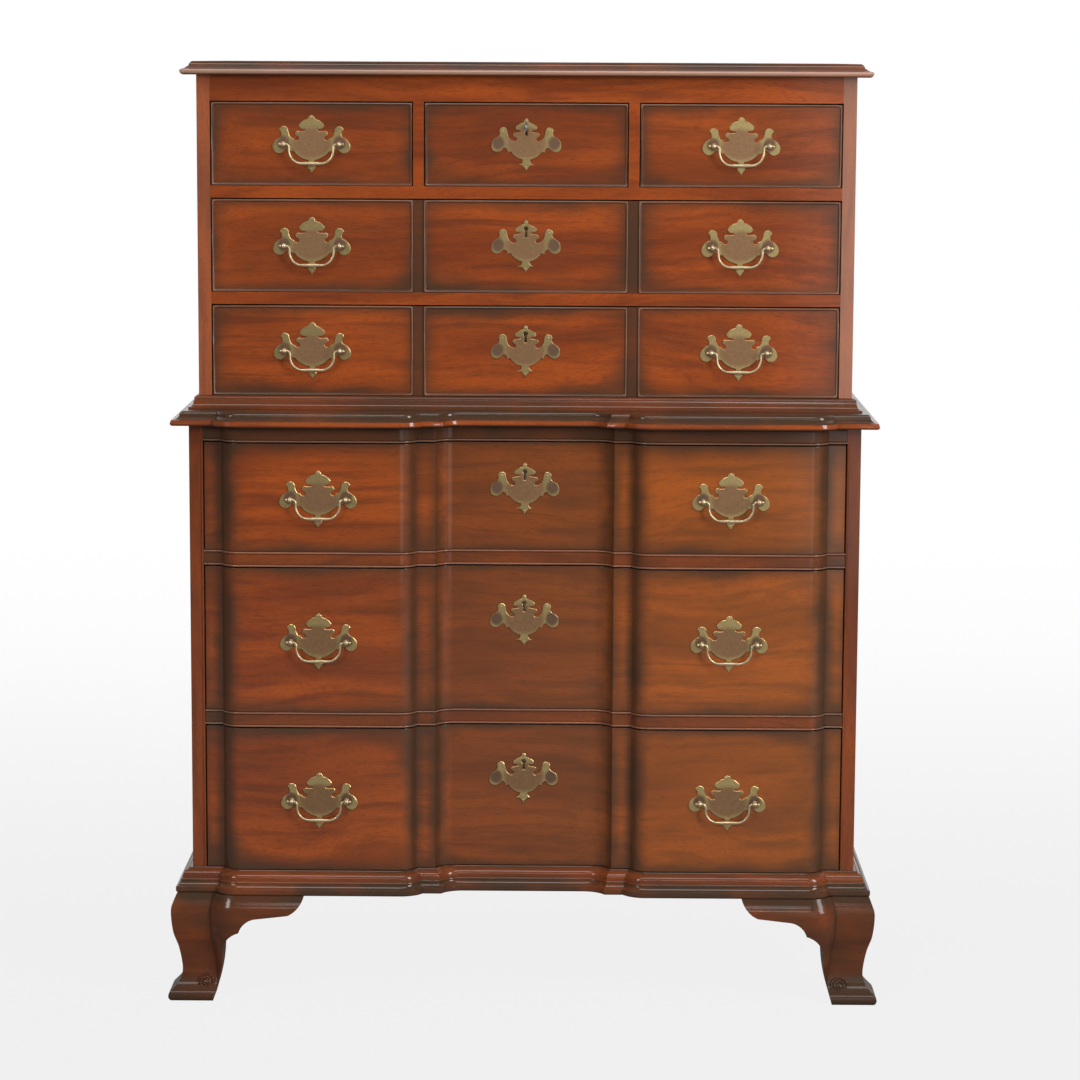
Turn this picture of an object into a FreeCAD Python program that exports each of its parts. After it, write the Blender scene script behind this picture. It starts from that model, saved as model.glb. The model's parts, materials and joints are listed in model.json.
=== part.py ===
import FreeCAD, Part
import math
import os

os.makedirs("parts", exist_ok=True)
Vec = FreeCAD.Vector

# Block-front chest on chest. Millimetres, +Z up, front towards -Y, +X to the right.
# The origin is on the floor, in the middle of the overall width and depth.

# ---------------------------------------------------------------- driving dimensions
# Lower case
lower_width = 963.4
lower_depth = 488.0
lower_side = 20.0
lower_rail_height = 22.1
lower_frieze_height = 23.4
lower_rail_depth = 60.0
lower_openings = {"lower_bottom": 210.9, "lower_middle": 211.8, "lower_top": 157.7}

# Upper case
upper_width = 940.0
upper_setback = 33.0
upper_side = 19.0
upper_rail_height = 18.0
upper_frieze_height = 36.8
upper_rail_depth = 50.0
upper_openings = {"upper_bottom": 131.0, "upper_middle": 133.7, "top": 119.5}
centre_opening = 292.0
divider_width = 15.5

# Blocking of the lower front. Its rounds and hollows are of block_turn radius, and are larger by
# turn_growth, their corners corner_lead further over, for each millimetre that a moulding stands out.
relief = 19.0
block_outer = 435.5
block_inner = 155.3
recess_edge = 128.5
block_turn = 28.0
turn_growth = 0.4
corner_lead = 0.47

# Heights of the mouldings and feet
foot_height = 159.5
base_height = 34.0
waist_height = 20.3
upper_base_height = 19.2
cornice_height = 19.0

# Boards inside the cases
bottom_board = 19.0
back_panel = 12.0
back_rabbet = 10.0
runner_width = 45.0
guide_height = 30.0
kicker_height = 20.0

# Drawers
drawer_gap = 1.6
drawer_lift = 0.3
flat_front = 20.0
recess_front = 14.0
box_side = 12.0
box_back = 10.0
box_bottom = 6.0
bottom_rise = 10.0
groove = 5.0
side_drop = 6.0
back_drop = 5.0
box_clear = 20.0
tail_lap = 12.0
tail_pitch = 42.0
tail_root = 0.5
tail_tip = 0.78
bead_radius = 1.6
strip_sink = 1.2

# Brass
plate_thickness = 1.6
post_span = 79.6
post_stand = 10.0
post_ball = 4.2
post_neck = 2.3
post_grip = 14.0
post_collar = 3.6
nut_size = 11.0
nut_height = 4.0
nut_room = 8.5
thread_out = 1.5
hole_clear = 0.2
bail_wire = 1.8
bail_bore = 1.88
bail_swell = 2.7
bail_arm = 31.4
bail_drop = 27.4
bail_knob = 2.2
bail_bend = 5.0
bail_corner = 18.0
upper_pull_drop = 0.9
lower_pull_drop = 2.2
lock_plate_rise = {"lower_top": 10.0, "lower_middle": 25.0, "lower_bottom": 25.0}

# Locks and key
keyhole_rise = 25.0
keyhole_radius = 3.0
keyhole_slot = 3.2
keyhole_drop = 12.6
lock_width = 50.0
lock_depth = 10.0
lock_let_in = 7.0
lock_below = 18.0
lock_wall = 2.0
lock_barrel = 13.5
key_shank = 2.4
key_bit = 10.5
key_bit_width = 2.4
key_bit_length = 4.0
key_reach = 21.0
key_bow = 7.0
key_bow_hole = 4.4
key_bow_thickness = 3.0

# Feet
bracket_thickness = 28.0
rear_bracket = 22.0
foot_block = 38.0
foot_block_length = 48.5
rail_block = 18.0
rail_block_length = 60.0
foot_relief_low = 15.0
foot_relief_high = 56.0
foot_relief_least = 2.0
volute_radius = 10.0
volute_inset = 18.9
volute_height = 29.1
volute_out = 24.5

# Moulding sections, from the underside up: (out from the case face, height).
# A step with one point is a straight, a step with two points is an arc through the first.
cornice_start = (16.5, 0.0)
cornice_steps = [
    ((20.4, 2.2), (21.6, 5.8)), ((20.4, 8.0),), ((15.2, 9.4), (11.9, 11.6)),
    ((9.6, 13.0),), ((8.3, 16.4), (4.7, cornice_height)),
]
waist_start = (19.4, 0.0)
waist_steps = [
    ((23.3, 1.1), (24.6, 3.3)), ((23.0, 8.3),), ((17.6, 9.3), (13.9, 11.6)),
    ((12.1, 13.6),), ((11.4, 17.4), (8.2, waist_height)),
]
upper_base_start = (14.2, 0.0)
upper_base_steps = [
    ((14.2, 2.7),), ((9.6, 4.4), (7.6, 8.2)), ((6.0, 13.8),),
    ((6.0, 16.4), (3.7, 17.8)), ((2.0, upper_base_height),),
]
base_start = (19.7, 0.0)
base_steps = [
    ((22.0, 1.2), (22.8, 3.6)), ((22.8, 8.5),), ((18.4, 11.0), (15.6, 15.4)),
    ((15.8, 18.0), (13.7, 19.6)), ((12.6, 26.6), (6.2, 31.4)), ((4.1, base_height),),
]
# Outline of the feet, (out from the case face, height): the toe is an arc through three points,
# and the ogee above it is a curve through its points. Above the toe the outlines of the feet
# stretch with foot_height.
toe_points = [(31.0, 0.0), (34.6, 6.0), (31.8, 13.5)]
ogee_points = toe_points[-1:] + [
    (19.6, 25.5), (15.2, 38.5), (15.4, 53.5), (19.8, 78.5), (27.0, 102.5), (29.7, 133.5),
    (25.8, 148.5), (20.6, 159.5),
]
toe_sections = 4
ogee_sections = 18
# Lower edge of a bracket: (in from the case face, height).
bracket_start = (30.7, 0.0)
bracket_steps = [
    ((35.7, 17.5),), ((41.4, 41.5), (44.7, 72.5)), ((51.5, 92.5), (69.8, 105.1)),
    ((77.0, 117.7), (92.5, 126.1)), ((141.3, 131.8),), ((156.5, 143.5), (164.7, 159.5)),
]
# Right halves of the brass plates, top to bottom: (from the centre line, height).
pull_top = (0.0, 41.0)
pull_steps = [
    ((3.9, 38.8), (5.0, 35.6)), ((13.4, 32.0), (18.2, 26.6)), ((16.4, 23.0), (10.2, 21.0)),
    ((8.6, 19.9), (10.2, 18.4)), ((15.0, 18.0), (19.8, 18.8)), ((23.4, 15.2), (20.6, 10.9)),
    ((18.0, 7.6), (21.2, 5.1)), ((23.8, 5.8), (25.2, 7.7)), ((29.6, 9.5),),
    ((32.3, 14.9), (33.1, 20.8)), ((39.6, 25.4), (46.0, 20.8)), ((42.8, 15.6), (43.8, 10.0)),
    ((51.6, 5.2), (55.6, -3.2)), ((53.2, -10.0), (45.8, -13.2)), ((41.2, -11.4), (38.2, -7.6)),
    ((33.4, -6.9), (28.7, -10.4)), ((25.2, -10.4),), ((15.4, -19.0), (4.4, -22.8)),
    ((3.4, -27.6), (6.0, -32.6)), ((0.0, -40.6),),
]
lock_top = (0.0, 37.0)
lock_steps = [
    ((2.9, 34.7), (2.9, 31.8)), ((8.9, 29.2), (14.6, 25.6)), ((15.2, 22.6), (12.4, 20.5)),
    ((9.1, 19.9), (6.7, 18.1)), ((12.2, 17.1), (17.3, 16.1)), ((18.9, 13.4), (16.9, 10.8)),
    ((13.8, 7.5), (17.9, 4.5)), ((23.2, 7.7), (26.3, 13.8)), ((27.0, 17.7),),
    ((34.0, 24.3), (38.8, 19.7)), ((37.8, 15.0), (41.3, 10.2)), ((47.8, 5.5), (49.7, -1.2)),
    ((47.6, -8.3), (40.9, -10.7)), ((35.4, -8.3), (32.1, -4.4)), ((28.7, -5.7), (26.4, -11.0)),
    ((22.0, -9.8),), ((16.1, -16.7), (5.5, -21.5)), ((6.1, -25.6), (11.6, -28.5)),
    ((5.7, -29.7),), ((2.4, -33.3), (0.0, -37.0)),
]

# ---------------------------------------------------------------- sizes that follow
outline_height = ogee_points[-1][1]


def foot_level(height):
    """The height on a foot of a point that its outline has at this height."""
    toe_height = toe_points[-1][1]
    stretch = (foot_height - toe_height) / (outline_height - toe_height)
    return min(height, toe_height) + max(height - toe_height, 0.0) * stretch


# The feet's outline is curved, so its widest point is read from it.
toe = Part.Arc(*[Vec(out, 0, height) for out, height in toe_points])
ogee = Part.BSplineCurve()
ogee.interpolate([Vec(out, 0, foot_level(height)) for out, height in ogee_points])
outline = toe.toShape().discretize(toe_sections) + ogee.toShape().discretize(ogee_sections)[1:]
foot_outline = [(point.x, point.z) for point in outline]
foot_out = max(out for out, height in foot_outline)


def foot_relief(height):
    """The blocking runs down the foot and dies away into the toe."""
    share = (height - foot_relief_low) / (foot_relief_high - foot_relief_low)
    return foot_relief_least + (relief - foot_relief_least) * min(max(share, 0.0), 1.0)


front_reach = max(out + foot_relief(height) for out, height in foot_outline)

lower_half = lower_width / 2
lower_inner = lower_half - lower_side
upper_half = upper_width / 2
upper_inner = upper_half - upper_side
front_y = (front_reach - lower_depth) / 2
back_y = front_y + lower_depth
upper_y = front_y + upper_setback
panel_y = back_y - back_panel
front_back_y = front_y + relief + recess_front

foot_top = foot_height
lower_floor = foot_top + base_height
levels = {}
height = lower_floor
for name in ("lower_bottom", "lower_middle", "lower_top"):
    levels[name] = (height, height + lower_openings[name])
    height = levels[name][1] + lower_rail_height
waist_z = levels["lower_top"][1] + lower_frieze_height
upper_z = waist_z + waist_height
upper_floor = upper_z + upper_base_height
height = upper_floor
for name in ("upper_bottom", "upper_middle", "top"):
    levels[name] = (height, height + upper_openings[name])
    height = levels[name][1] + upper_rail_height
cornice_z = levels["top"][1] + upper_frieze_height
divider_in = centre_opening / 2
divider_out = divider_in + divider_width


# ---------------------------------------------------------------- shape helpers
def box(x0, x1, y0, y1, z0, z1):
    return Part.makeBox(x1 - x0, y1 - y0, z1 - z0, Vec(x0, y0, z0))


def both_sides(solid):
    return [solid, solid.mirror(Vec(0, 0, 0), Vec(1, 0, 0))]


def save(name, solids):
    Part.makeCompound(solids).exportStep("parts/" + name + ".step")


def flip(point):
    return (-point[0], point[1])


def flipped_back(start, steps):
    """The mirror image of a path, run from its end to its start."""
    stops = [start] + [step[-1] for step in steps]
    back = []
    for index in range(len(steps) - 1, -1, -1):
        middles = tuple(flip(point) for point in steps[index][:-1])
        back.append(middles + (flip(stops[index]),))
    return back


def path_edges(start, steps, place):
    """Edges of a path; one point is a straight, two points are an arc through the first."""
    edges = []
    here = start
    for step in steps:
        if len(step) == 1:
            edges.append(Part.LineSegment(place(here), place(step[0])).toShape())
        else:
            edges.append(Part.Arc(place(here), place(step[0]), place(step[1])).toShape())
        here = step[-1]
    return edges


def section_samples(start, steps, arc_parts=4):
    """A moulding section as (out, height) samples, arcs cut into short straights."""
    samples = [start]
    for edge, step in zip(path_edges(start, steps, lambda p: Vec(p[0], p[1], 0)), steps):
        count = 2 if len(step) == 1 else arc_parts + 1
        for point in edge.discretize(count)[1:]:
            samples.append((point.x, point.y))
    return samples


def plate(start, steps, x, y, z, thickness):
    """A symmetric flat plate in the XZ plane, its back face at y, standing out to -Y."""
    def place(point):
        return Vec(x + point[0], y, z + point[1])
    edges = path_edges(start, steps + flipped_back(start, steps), place)
    return Part.Face(Part.Wire(edges)).extrude(Vec(0, -thickness, 0))


# ---------------------------------------------------------------- plans of the two cases
def blocked_front(out, end_x):
    """The blocked front line, left to right, moved out from the drawer faces."""
    flat = front_y - out
    floor = flat + relief
    face = flat - relief
    turn = block_turn + turn_growth * out
    lead = corner_lead * out
    sweep = math.acos(1 - relief / turn)
    reach = turn * math.sin(sweep)
    half_x = turn * math.sin(sweep / 2)
    half_y = turn * (1 - math.cos(sweep / 2))
    hollow = recess_edge - lead - reach
    inner = block_inner - lead + reach
    outer = block_outer + lead - reach
    start = (hollow, floor)
    steps = [
        ((hollow + half_x, floor - half_y), (hollow + reach, flat)),
        ((inner - reach, flat),),
        ((inner - half_x, face + half_y), (inner, face)),
        ((outer, face),),
        ((outer + half_x, face + half_y), (outer + reach, flat)),
        ((end_x, flat),),
    ]
    return flip(steps[-1][-1]), flipped_back(start, steps) + [(start,)] + steps


def blocked_plan(out, end_x, rear, z):
    """Closed plan: blocked front, straight ends, straight back."""
    start, steps = blocked_front(out, end_x)
    steps = steps + [((end_x, rear),), ((-end_x, rear),), (start,)]
    return Part.Wire(path_edges(start, steps, lambda p: Vec(p[0], p[1], z)))


def straight_plan(half, front, rear, z):
    corners = [Vec(-half, front, z), Vec(half, front, z), Vec(half, rear, z), Vec(-half, rear, z)]
    return Part.makePolygon(corners + corners[:1])


def blocked_moulding(start, steps, z):
    plans = []
    for out, height in section_samples(start, steps):
        plans.append(blocked_plan(out, lower_half + out, back_y, z + height))
    return Part.makeLoft(plans, True, True)


def straight_moulding(start, steps, z):
    plans = []
    for out, height in section_samples(start, steps):
        plans.append(straight_plan(upper_half + out, upper_y - out, back_y, z + height))
    return Part.makeLoft(plans, True, True)


# ---------------------------------------------------------------- case boards
def case_side(inner, outer, front, z0, z1, strip_back, strip_top):
    """One side board, rabbeted for the back and notched for the base moulding's front strip."""
    board = box(inner, outer, front, back_y, z0, z1)
    rabbet = box(inner, inner + back_rabbet, panel_y, back_y, z0, z1)
    notch = box(inner, outer, front, strip_back, z0, strip_top)
    return board.cut(rabbet).cut(notch)


lower_strip_back = front_y + lower_rail_depth
upper_strip_back = upper_y + upper_rail_depth

lower_side_board = case_side(
    lower_inner, lower_half, front_y, foot_top, waist_z, lower_strip_back, lower_floor)
side_bead = Part.makeCylinder(
    bead_radius, levels["lower_top"][1] - lower_floor,
    Vec(lower_inner + bead_radius, front_y, lower_floor))
save("lower_sides", both_sides(lower_side_board.fuse(side_bead)))

upper_side_board = case_side(
    upper_inner, upper_half, upper_y, upper_z, cornice_z, upper_strip_back, upper_floor)
save("upper_sides", both_sides(upper_side_board))

save("lower_back_panel", [
    box(-lower_inner - back_rabbet, lower_inner + back_rabbet, panel_y, back_y, foot_top, waist_z)])
save("upper_back_panel", [
    box(-upper_inner - back_rabbet, upper_inner + back_rabbet, panel_y, back_y, upper_z, cornice_z)])
save("lower_bottom_board", [
    box(-lower_inner, lower_inner, lower_strip_back, panel_y, lower_floor - bottom_board,
        lower_floor)])
save("upper_bottom_board", [
    box(-upper_inner, upper_inner, upper_strip_back, panel_y, upper_z, upper_floor)])

# ---------------------------------------------------------------- mouldings
save("upper_top", [straight_moulding(cornice_start, cornice_steps, cornice_z)])
save("waist_top", [blocked_moulding(waist_start, waist_steps, waist_z)])

base_room = box(-lower_half, lower_half, lower_strip_back, back_y, foot_top, lower_floor)
save("base_moulding", [blocked_moulding(base_start, base_steps, foot_top).cut(base_room)])
upper_room = box(-upper_half, upper_half, upper_strip_back, back_y, upper_z, upper_floor)
save("upper_base_moulding", [
    straight_moulding(upper_base_start, upper_base_steps, upper_z).cut(upper_room)])


# ---------------------------------------------------------------- rails and runners
def blocked_rail(z0, z1):
    """A drawer rail that follows the blocking, with a bead along both edges."""
    bead = 2 * bead_radius
    rise = z1 - z0
    steps = [
        ((bead_radius, bead_radius), (0.0, bead)),
        ((0.0, rise - bead),),
        ((bead_radius, rise - bead_radius), (0.0, rise)),
    ]
    plans = []
    for out, height in section_samples((0.0, 0.0), steps):
        plans.append(blocked_plan(max(out, 0.0), lower_inner, lower_strip_back, z0 + height))
    return Part.makeLoft(plans, True, True)


save("lower_rails", [
    blocked_rail(levels["lower_bottom"][1], levels["lower_middle"][0]),
    blocked_rail(levels["lower_middle"][1], levels["lower_top"][0]),
    blocked_rail(levels["lower_top"][1], waist_z)])


def upper_rail(z0, z1):
    return box(-upper_inner, upper_inner, upper_y, upper_strip_back, z0, z1)


divider = box(divider_in, divider_out, upper_y, upper_strip_back, *levels["top"])
save("upper_rails", [
    upper_rail(levels["upper_bottom"][1], levels["upper_middle"][0]),
    upper_rail(levels["upper_middle"][1], levels["top"][0]),
    upper_rail(levels["top"][1], cornice_z)] + both_sides(divider))


def runner_frame(inner, strip_back, z0, z1):
    """Two side runners and a back rail, behind a drawer rail."""
    runner = box(inner - runner_width, inner, strip_back, panel_y, z0, z1)
    rear = box(runner_width - inner, inner - runner_width, panel_y - runner_width, panel_y, z0, z1)
    return both_sides(runner) + [rear]


def kickers(inner, strip_back, z0):
    """Strips above the top drawers that keep them level when they are drawn out."""
    return both_sides(box(inner - runner_width, inner, strip_back, panel_y, z0, z0 + kicker_height))


save("lower_runners",
     runner_frame(lower_inner, lower_strip_back, levels["lower_bottom"][1], levels["lower_middle"][0])
     + runner_frame(lower_inner, lower_strip_back, levels["lower_middle"][1], levels["lower_top"][0])
     + kickers(lower_inner, lower_strip_back, levels["lower_top"][1]))

centre_runner = box(
    divider_in - runner_width / 2, divider_out + runner_width / 2, upper_strip_back,
    panel_y - runner_width, levels["upper_middle"][1], levels["top"][0])
guide = box(
    divider_in, divider_out, upper_strip_back, panel_y, levels["top"][0],
    levels["top"][0] + guide_height)
centre_kicker = box(
    divider_in, divider_out, upper_strip_back, panel_y, levels["top"][1],
    levels["top"][1] + kicker_height)
save("upper_runners",
     runner_frame(upper_inner, upper_strip_back, levels["upper_bottom"][1], levels["upper_middle"][0])
     + runner_frame(upper_inner, upper_strip_back, levels["upper_middle"][1], levels["top"][0])
     + kickers(upper_inner, upper_strip_back, levels["top"][1])
     + both_sides(centre_runner) + both_sides(guide) + both_sides(centre_kicker))


# ---------------------------------------------------------------- feet
def front_foot_plan(out, height, inner_x, rear):
    """Plan of a right front foot: block face, quarter round, flat, case corner."""
    depth = foot_relief(height)
    turn = depth + out
    centre_x = block_outer - depth
    reach = math.sqrt(turn ** 2 - out ** 2)
    middle = (math.asin(out / turn) + math.pi / 2) / 2
    quarter = (centre_x + turn * math.cos(middle), front_y - turn * math.sin(middle))
    face = front_y - out - depth
    flat = front_y - out
    side = lower_half + out
    steps = [
        ((centre_x, face),), (quarter, (centre_x + reach, flat)), ((side, flat),),
        ((side, rear),), ((inner_x, rear),), ((inner_x, face),),
    ]
    return Part.Wire(path_edges((inner_x, face), steps, lambda p: Vec(p[0], p[1], height)))


def bracket(place, along):
    """A bracket board: the (in, height) outline set by place and pushed along a direction."""
    far = -2 * foot_out
    steps = bracket_steps + [((far, outline_height),), ((far, 0.0),), (bracket_start,)]
    edges = path_edges(bracket_start, steps, lambda p: place((p[0], foot_level(p[1]))))
    return Part.Face(Part.Wire(edges)).extrude(along)


def glue_blocks(corner_x, corner_y, inward):
    """Blocks behind a right foot: an upright in the corner and one along each bracket."""
    def span(start, length):
        return sorted((start, start + inward * length))
    upright = box(corner_x - foot_block, corner_x, *span(corner_y, foot_block),
                  foot_top - foot_block_length, foot_top)
    side = box(corner_x - rail_block, corner_x,
               *span(corner_y + inward * foot_block, rail_block_length),
               foot_top - rail_block, foot_top)
    front = box(corner_x - foot_block - rail_block_length, corner_x - foot_block,
                *span(corner_y, rail_block), foot_top - rail_block, foot_top)
    return [upright, side, front]


bracket_length = bracket_steps[-1][-1][0]
foot_inner_x = lower_half - bracket_length - foot_out
foot_rear = front_y + bracket_length + foot_out
side_x = lower_half - bracket_thickness
everything = 2 * foot_out

front_plans = [front_foot_plan(out, up, foot_inner_x, foot_rear) for out, up in foot_outline]
front_body = Part.makeLoft(front_plans, True, True)
front_bracket = bracket(
    lambda p: Vec(lower_half - p[0], front_y - everything, p[1]),
    Vec(0, everything + bracket_thickness, 0))
side_bracket = bracket(
    lambda p: Vec(side_x, front_y + p[0], p[1]), Vec(everything, 0, 0))
volute = Part.makeCylinder(
    volute_radius, volute_out, Vec(lower_half - volute_inset, front_y, volute_height), Vec(0, -1, 0))
front_foot = front_body.common(front_bracket.fuse(side_bracket)).fuse(volute)
front_parts = [front_foot] + glue_blocks(side_x, front_y + bracket_thickness, 1)

rear_plans = []
for out, up in foot_outline:
    corners = [
        Vec(foot_inner_x, back_y, up), Vec(lower_half + out, back_y, up),
        Vec(lower_half + out, back_y - bracket_length - foot_out, up),
        Vec(foot_inner_x, back_y - bracket_length - foot_out, up)]
    rear_plans.append(Part.makePolygon(corners + corners[:1]))
rear_body = Part.makeLoft(rear_plans, True, True)
rear_side = bracket(lambda p: Vec(side_x, back_y - p[0], p[1]), Vec(everything, 0, 0))
rear_plain = bracket(lambda p: Vec(lower_half - p[0], back_y - rear_bracket, p[1]),
                     Vec(0, rear_bracket, 0))
rear_foot = rear_body.common(rear_side.fuse(rear_plain))
rear_parts = [rear_foot] + glue_blocks(side_x, back_y - rear_bracket, -1)

for place, parts in (("front", front_parts), ("rear", rear_parts)):
    pairs = [both_sides(part) for part in parts]
    save("foot_" + place + "_right", [pair[0] for pair in pairs])
    save("foot_" + place + "_left", [pair[1] for pair in pairs])


# ---------------------------------------------------------------- drawers
class Drawer:
    """Places of one drawer: its opening, its front's faces, its pulls and its lock."""

    def __init__(self, name, x0, x1, level, pulls, locked):
        self.name = name
        self.blocked = level.startswith("lower")
        self.panelled = level.startswith("upper")
        self.x0 = x0 + drawer_gap
        self.x1 = x1 - drawer_gap
        self.z0 = levels[level][0] + drawer_lift
        self.z1 = levels[level][1] - drawer_gap
        middle = (levels[level][0] + levels[level][1]) / 2
        self.pulls = pulls
        self.pull_z = middle - (lower_pull_drop if self.blocked else upper_pull_drop)
        self.pull_y = front_y - relief if self.blocked else upper_y
        self.locked = locked
        self.lock_z = middle + lock_plate_rise.get(level, 0.0)
        self.lock_y = front_y + relief if self.blocked else upper_y
        self.face_y = front_y if self.blocked else upper_y
        self.back_y = front_back_y if self.blocked else upper_y + flat_front


side_middle = (upper_inner + divider_out) / 2
block_middle = (block_outer + block_inner) / 2
drawers = [
    Drawer("top_left", -upper_inner, -divider_out, "top", [-side_middle], False),
    Drawer("top_center", -divider_in, divider_in, "top", [], True),
    Drawer("top_right", divider_out, upper_inner, "top", [side_middle], False),
]
for level in ("upper_middle", "upper_bottom"):
    drawers.append(Drawer(level, -upper_inner, upper_inner, level,
                          [-side_middle, side_middle], True))
for level in ("lower_top", "lower_middle", "lower_bottom"):
    drawers.append(Drawer(level, -lower_inner, lower_inner, level,
                          [-block_middle, block_middle], True))


def panel_beads(drawer):
    """Half-round beads round each panel of a flat front, and the strips between panels."""
    if drawer.panelled:
        panels = [(drawer.x0, -divider_out), (-divider_in, divider_in), (divider_out, drawer.x1)]
        strips = both_sides(box(divider_in, divider_out, drawer.face_y,
                                drawer.face_y + strip_sink, drawer.z0, drawer.z1))
    else:
        panels = [(drawer.x0, drawer.x1)]
        strips = []
    beads = []
    low = drawer.z0 + bead_radius
    high = drawer.z1 - bead_radius
    for x0, x1 in panels:
        left = x0 + bead_radius
        right = x1 - bead_radius
        for z in (low, high):
            beads.append(Part.makeCylinder(
                bead_radius, x1 - x0, Vec(x0, drawer.face_y, z), Vec(1, 0, 0)))
        for x in (left, right):
            beads.append(Part.makeCylinder(
                bead_radius, drawer.z1 - drawer.z0, Vec(x, drawer.face_y, drawer.z0)))
    return beads, strips


def front_board(drawer):
    if drawer.blocked:
        plan = blocked_plan(0.0, drawer.x1, drawer.back_y, drawer.z0)
        return Part.Face(plan).extrude(Vec(0, 0, drawer.z1 - drawer.z0))
    board = box(drawer.x0, drawer.x1, drawer.face_y, drawer.back_y, drawer.z0, drawer.z1)
    beads, strips = panel_beads(drawer)
    board = board.fuse(beads)
    if strips:
        board = board.cut(strips)
    return board


def tails(drawer, x0):
    """The dovetails on the front end of a drawer side, wide at the tip."""
    low = drawer.z0
    high = drawer.z1 - side_drop
    count = max(2, round((high - low) / tail_pitch))
    pitch = (high - low) / count
    shapes = []
    for index in range(count):
        middle = low + (index + 0.5) * pitch
        root = pitch * tail_root / 2
        tip = pitch * tail_tip / 2
        tip_y = drawer.back_y - tail_lap
        corners = [
            Vec(x0, drawer.back_y, middle - root), Vec(x0, tip_y, middle - tip),
            Vec(x0, tip_y, middle + tip), Vec(x0, drawer.back_y, middle + root)]
        face = Part.Face(Part.makePolygon(corners + corners[:1]))
        shapes.append(face.extrude(Vec(box_side, 0, 0)))
    return shapes


def keyhole(x, y, z, depth):
    """A round hole with a slot below it, cut towards +Y."""
    slot = box(x - keyhole_slot / 2, x + keyhole_slot / 2, y, y + depth, z - keyhole_drop, z)
    return Part.makeCylinder(keyhole_radius, depth, Vec(x, y, z), Vec(0, 1, 0)).fuse(slot)


def post_holes(drawer):
    """Bores for the posts, with room for their nuts at the back."""
    holes = []
    for centre in drawer.pulls:
        for x in (centre - post_span / 2, centre + post_span / 2):
            holes.append(Part.makeCylinder(
                post_neck + hole_clear, drawer.back_y - drawer.pull_y,
                Vec(x, drawer.pull_y, drawer.pull_z), Vec(0, 1, 0)))
            seat = drawer.pull_y + post_grip
            holes.append(Part.makeCylinder(
                nut_room, drawer.back_y - seat, Vec(x, seat, drawer.pull_z), Vec(0, 1, 0)))
    return holes


def lock_room(drawer):
    """The shape a lock fills in the back of its front: x0, x1, y0, y1, z0, z1."""
    seat = drawer.back_y - lock_let_in
    return (-lock_width / 2, lock_width / 2, seat, seat + lock_depth,
            drawer.lock_z + keyhole_rise - lock_below, drawer.z1)


def drawer_parts(drawer):
    """The front with all its cuts, and the box: two sides, back and bottom."""
    low = drawer.z0
    side_top = drawer.z1 - side_drop
    rear = panel_y - box_clear
    left = drawer.x0 + box_side
    right = drawer.x1 - box_side
    panel_z = low + bottom_rise
    bottom = box(left - groove, right + groove, drawer.back_y - groove, rear,
                 panel_z, panel_z + box_bottom)
    back = box(left, right, rear - box_back, rear, panel_z + box_bottom, side_top - back_drop)
    sides = []
    joints = []
    for x0 in (drawer.x0, right):
        teeth = tails(drawer, x0)
        board = box(x0, x0 + box_side, drawer.back_y, rear, low, side_top)
        sides.append(board.fuse(teeth).cut(bottom))
        joints += teeth
    front = front_board(drawer).cut(joints + [bottom])
    if drawer.pulls:
        front = front.cut(post_holes(drawer))
    if drawer.locked:
        hole_z = drawer.lock_z + keyhole_rise
        front = front.cut([
            box(*lock_room(drawer)),
            keyhole(0.0, drawer.lock_y, hole_z, drawer.back_y - drawer.lock_y)])
    return front, sides + [back, bottom]


# ---------------------------------------------------------------- brass pulls
def pull_set(drawer):
    """Plates with two ball-headed posts each, and the nuts inside the drawer."""
    solids = []
    for centre in drawer.pulls:
        base = plate(pull_top, pull_steps, centre, drawer.pull_y, drawer.pull_z, plate_thickness)
        for x in (centre - post_span / 2, centre + post_span / 2):
            here = Vec(x, drawer.pull_y, drawer.pull_z)
            base = base.cut(Part.makeCylinder(
                post_neck, plate_thickness, here, Vec(0, -1, 0)))
            end = post_grip + nut_height + thread_out
            ball = Part.makeSphere(post_ball, here - Vec(0, post_stand, 0))
            stem = Part.makeCylinder(
                post_neck, post_stand + end, here - Vec(0, post_stand, 0), Vec(0, 1, 0))
            collar = Part.makeCylinder(
                post_collar, plate_thickness, here - Vec(0, 2 * plate_thickness, 0), Vec(0, 1, 0))
            bore = Part.makeCylinder(
                bail_bore, 2 * post_ball, here - Vec(post_ball, post_stand, 0), Vec(1, 0, 0))
            solids.append(ball.fuse([stem, collar]).cut(bore))
            nut = box(x - nut_size / 2, x + nut_size / 2, drawer.pull_y + post_grip,
                      drawer.pull_y + post_grip + nut_height,
                      drawer.pull_z - nut_size / 2, drawer.pull_z + nut_size / 2)
            solids.append(nut.cut(Part.makeCylinder(
                post_neck, nut_height, here + Vec(0, post_grip, 0), Vec(0, 1, 0))))
        solids.append(base)
    return solids


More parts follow.
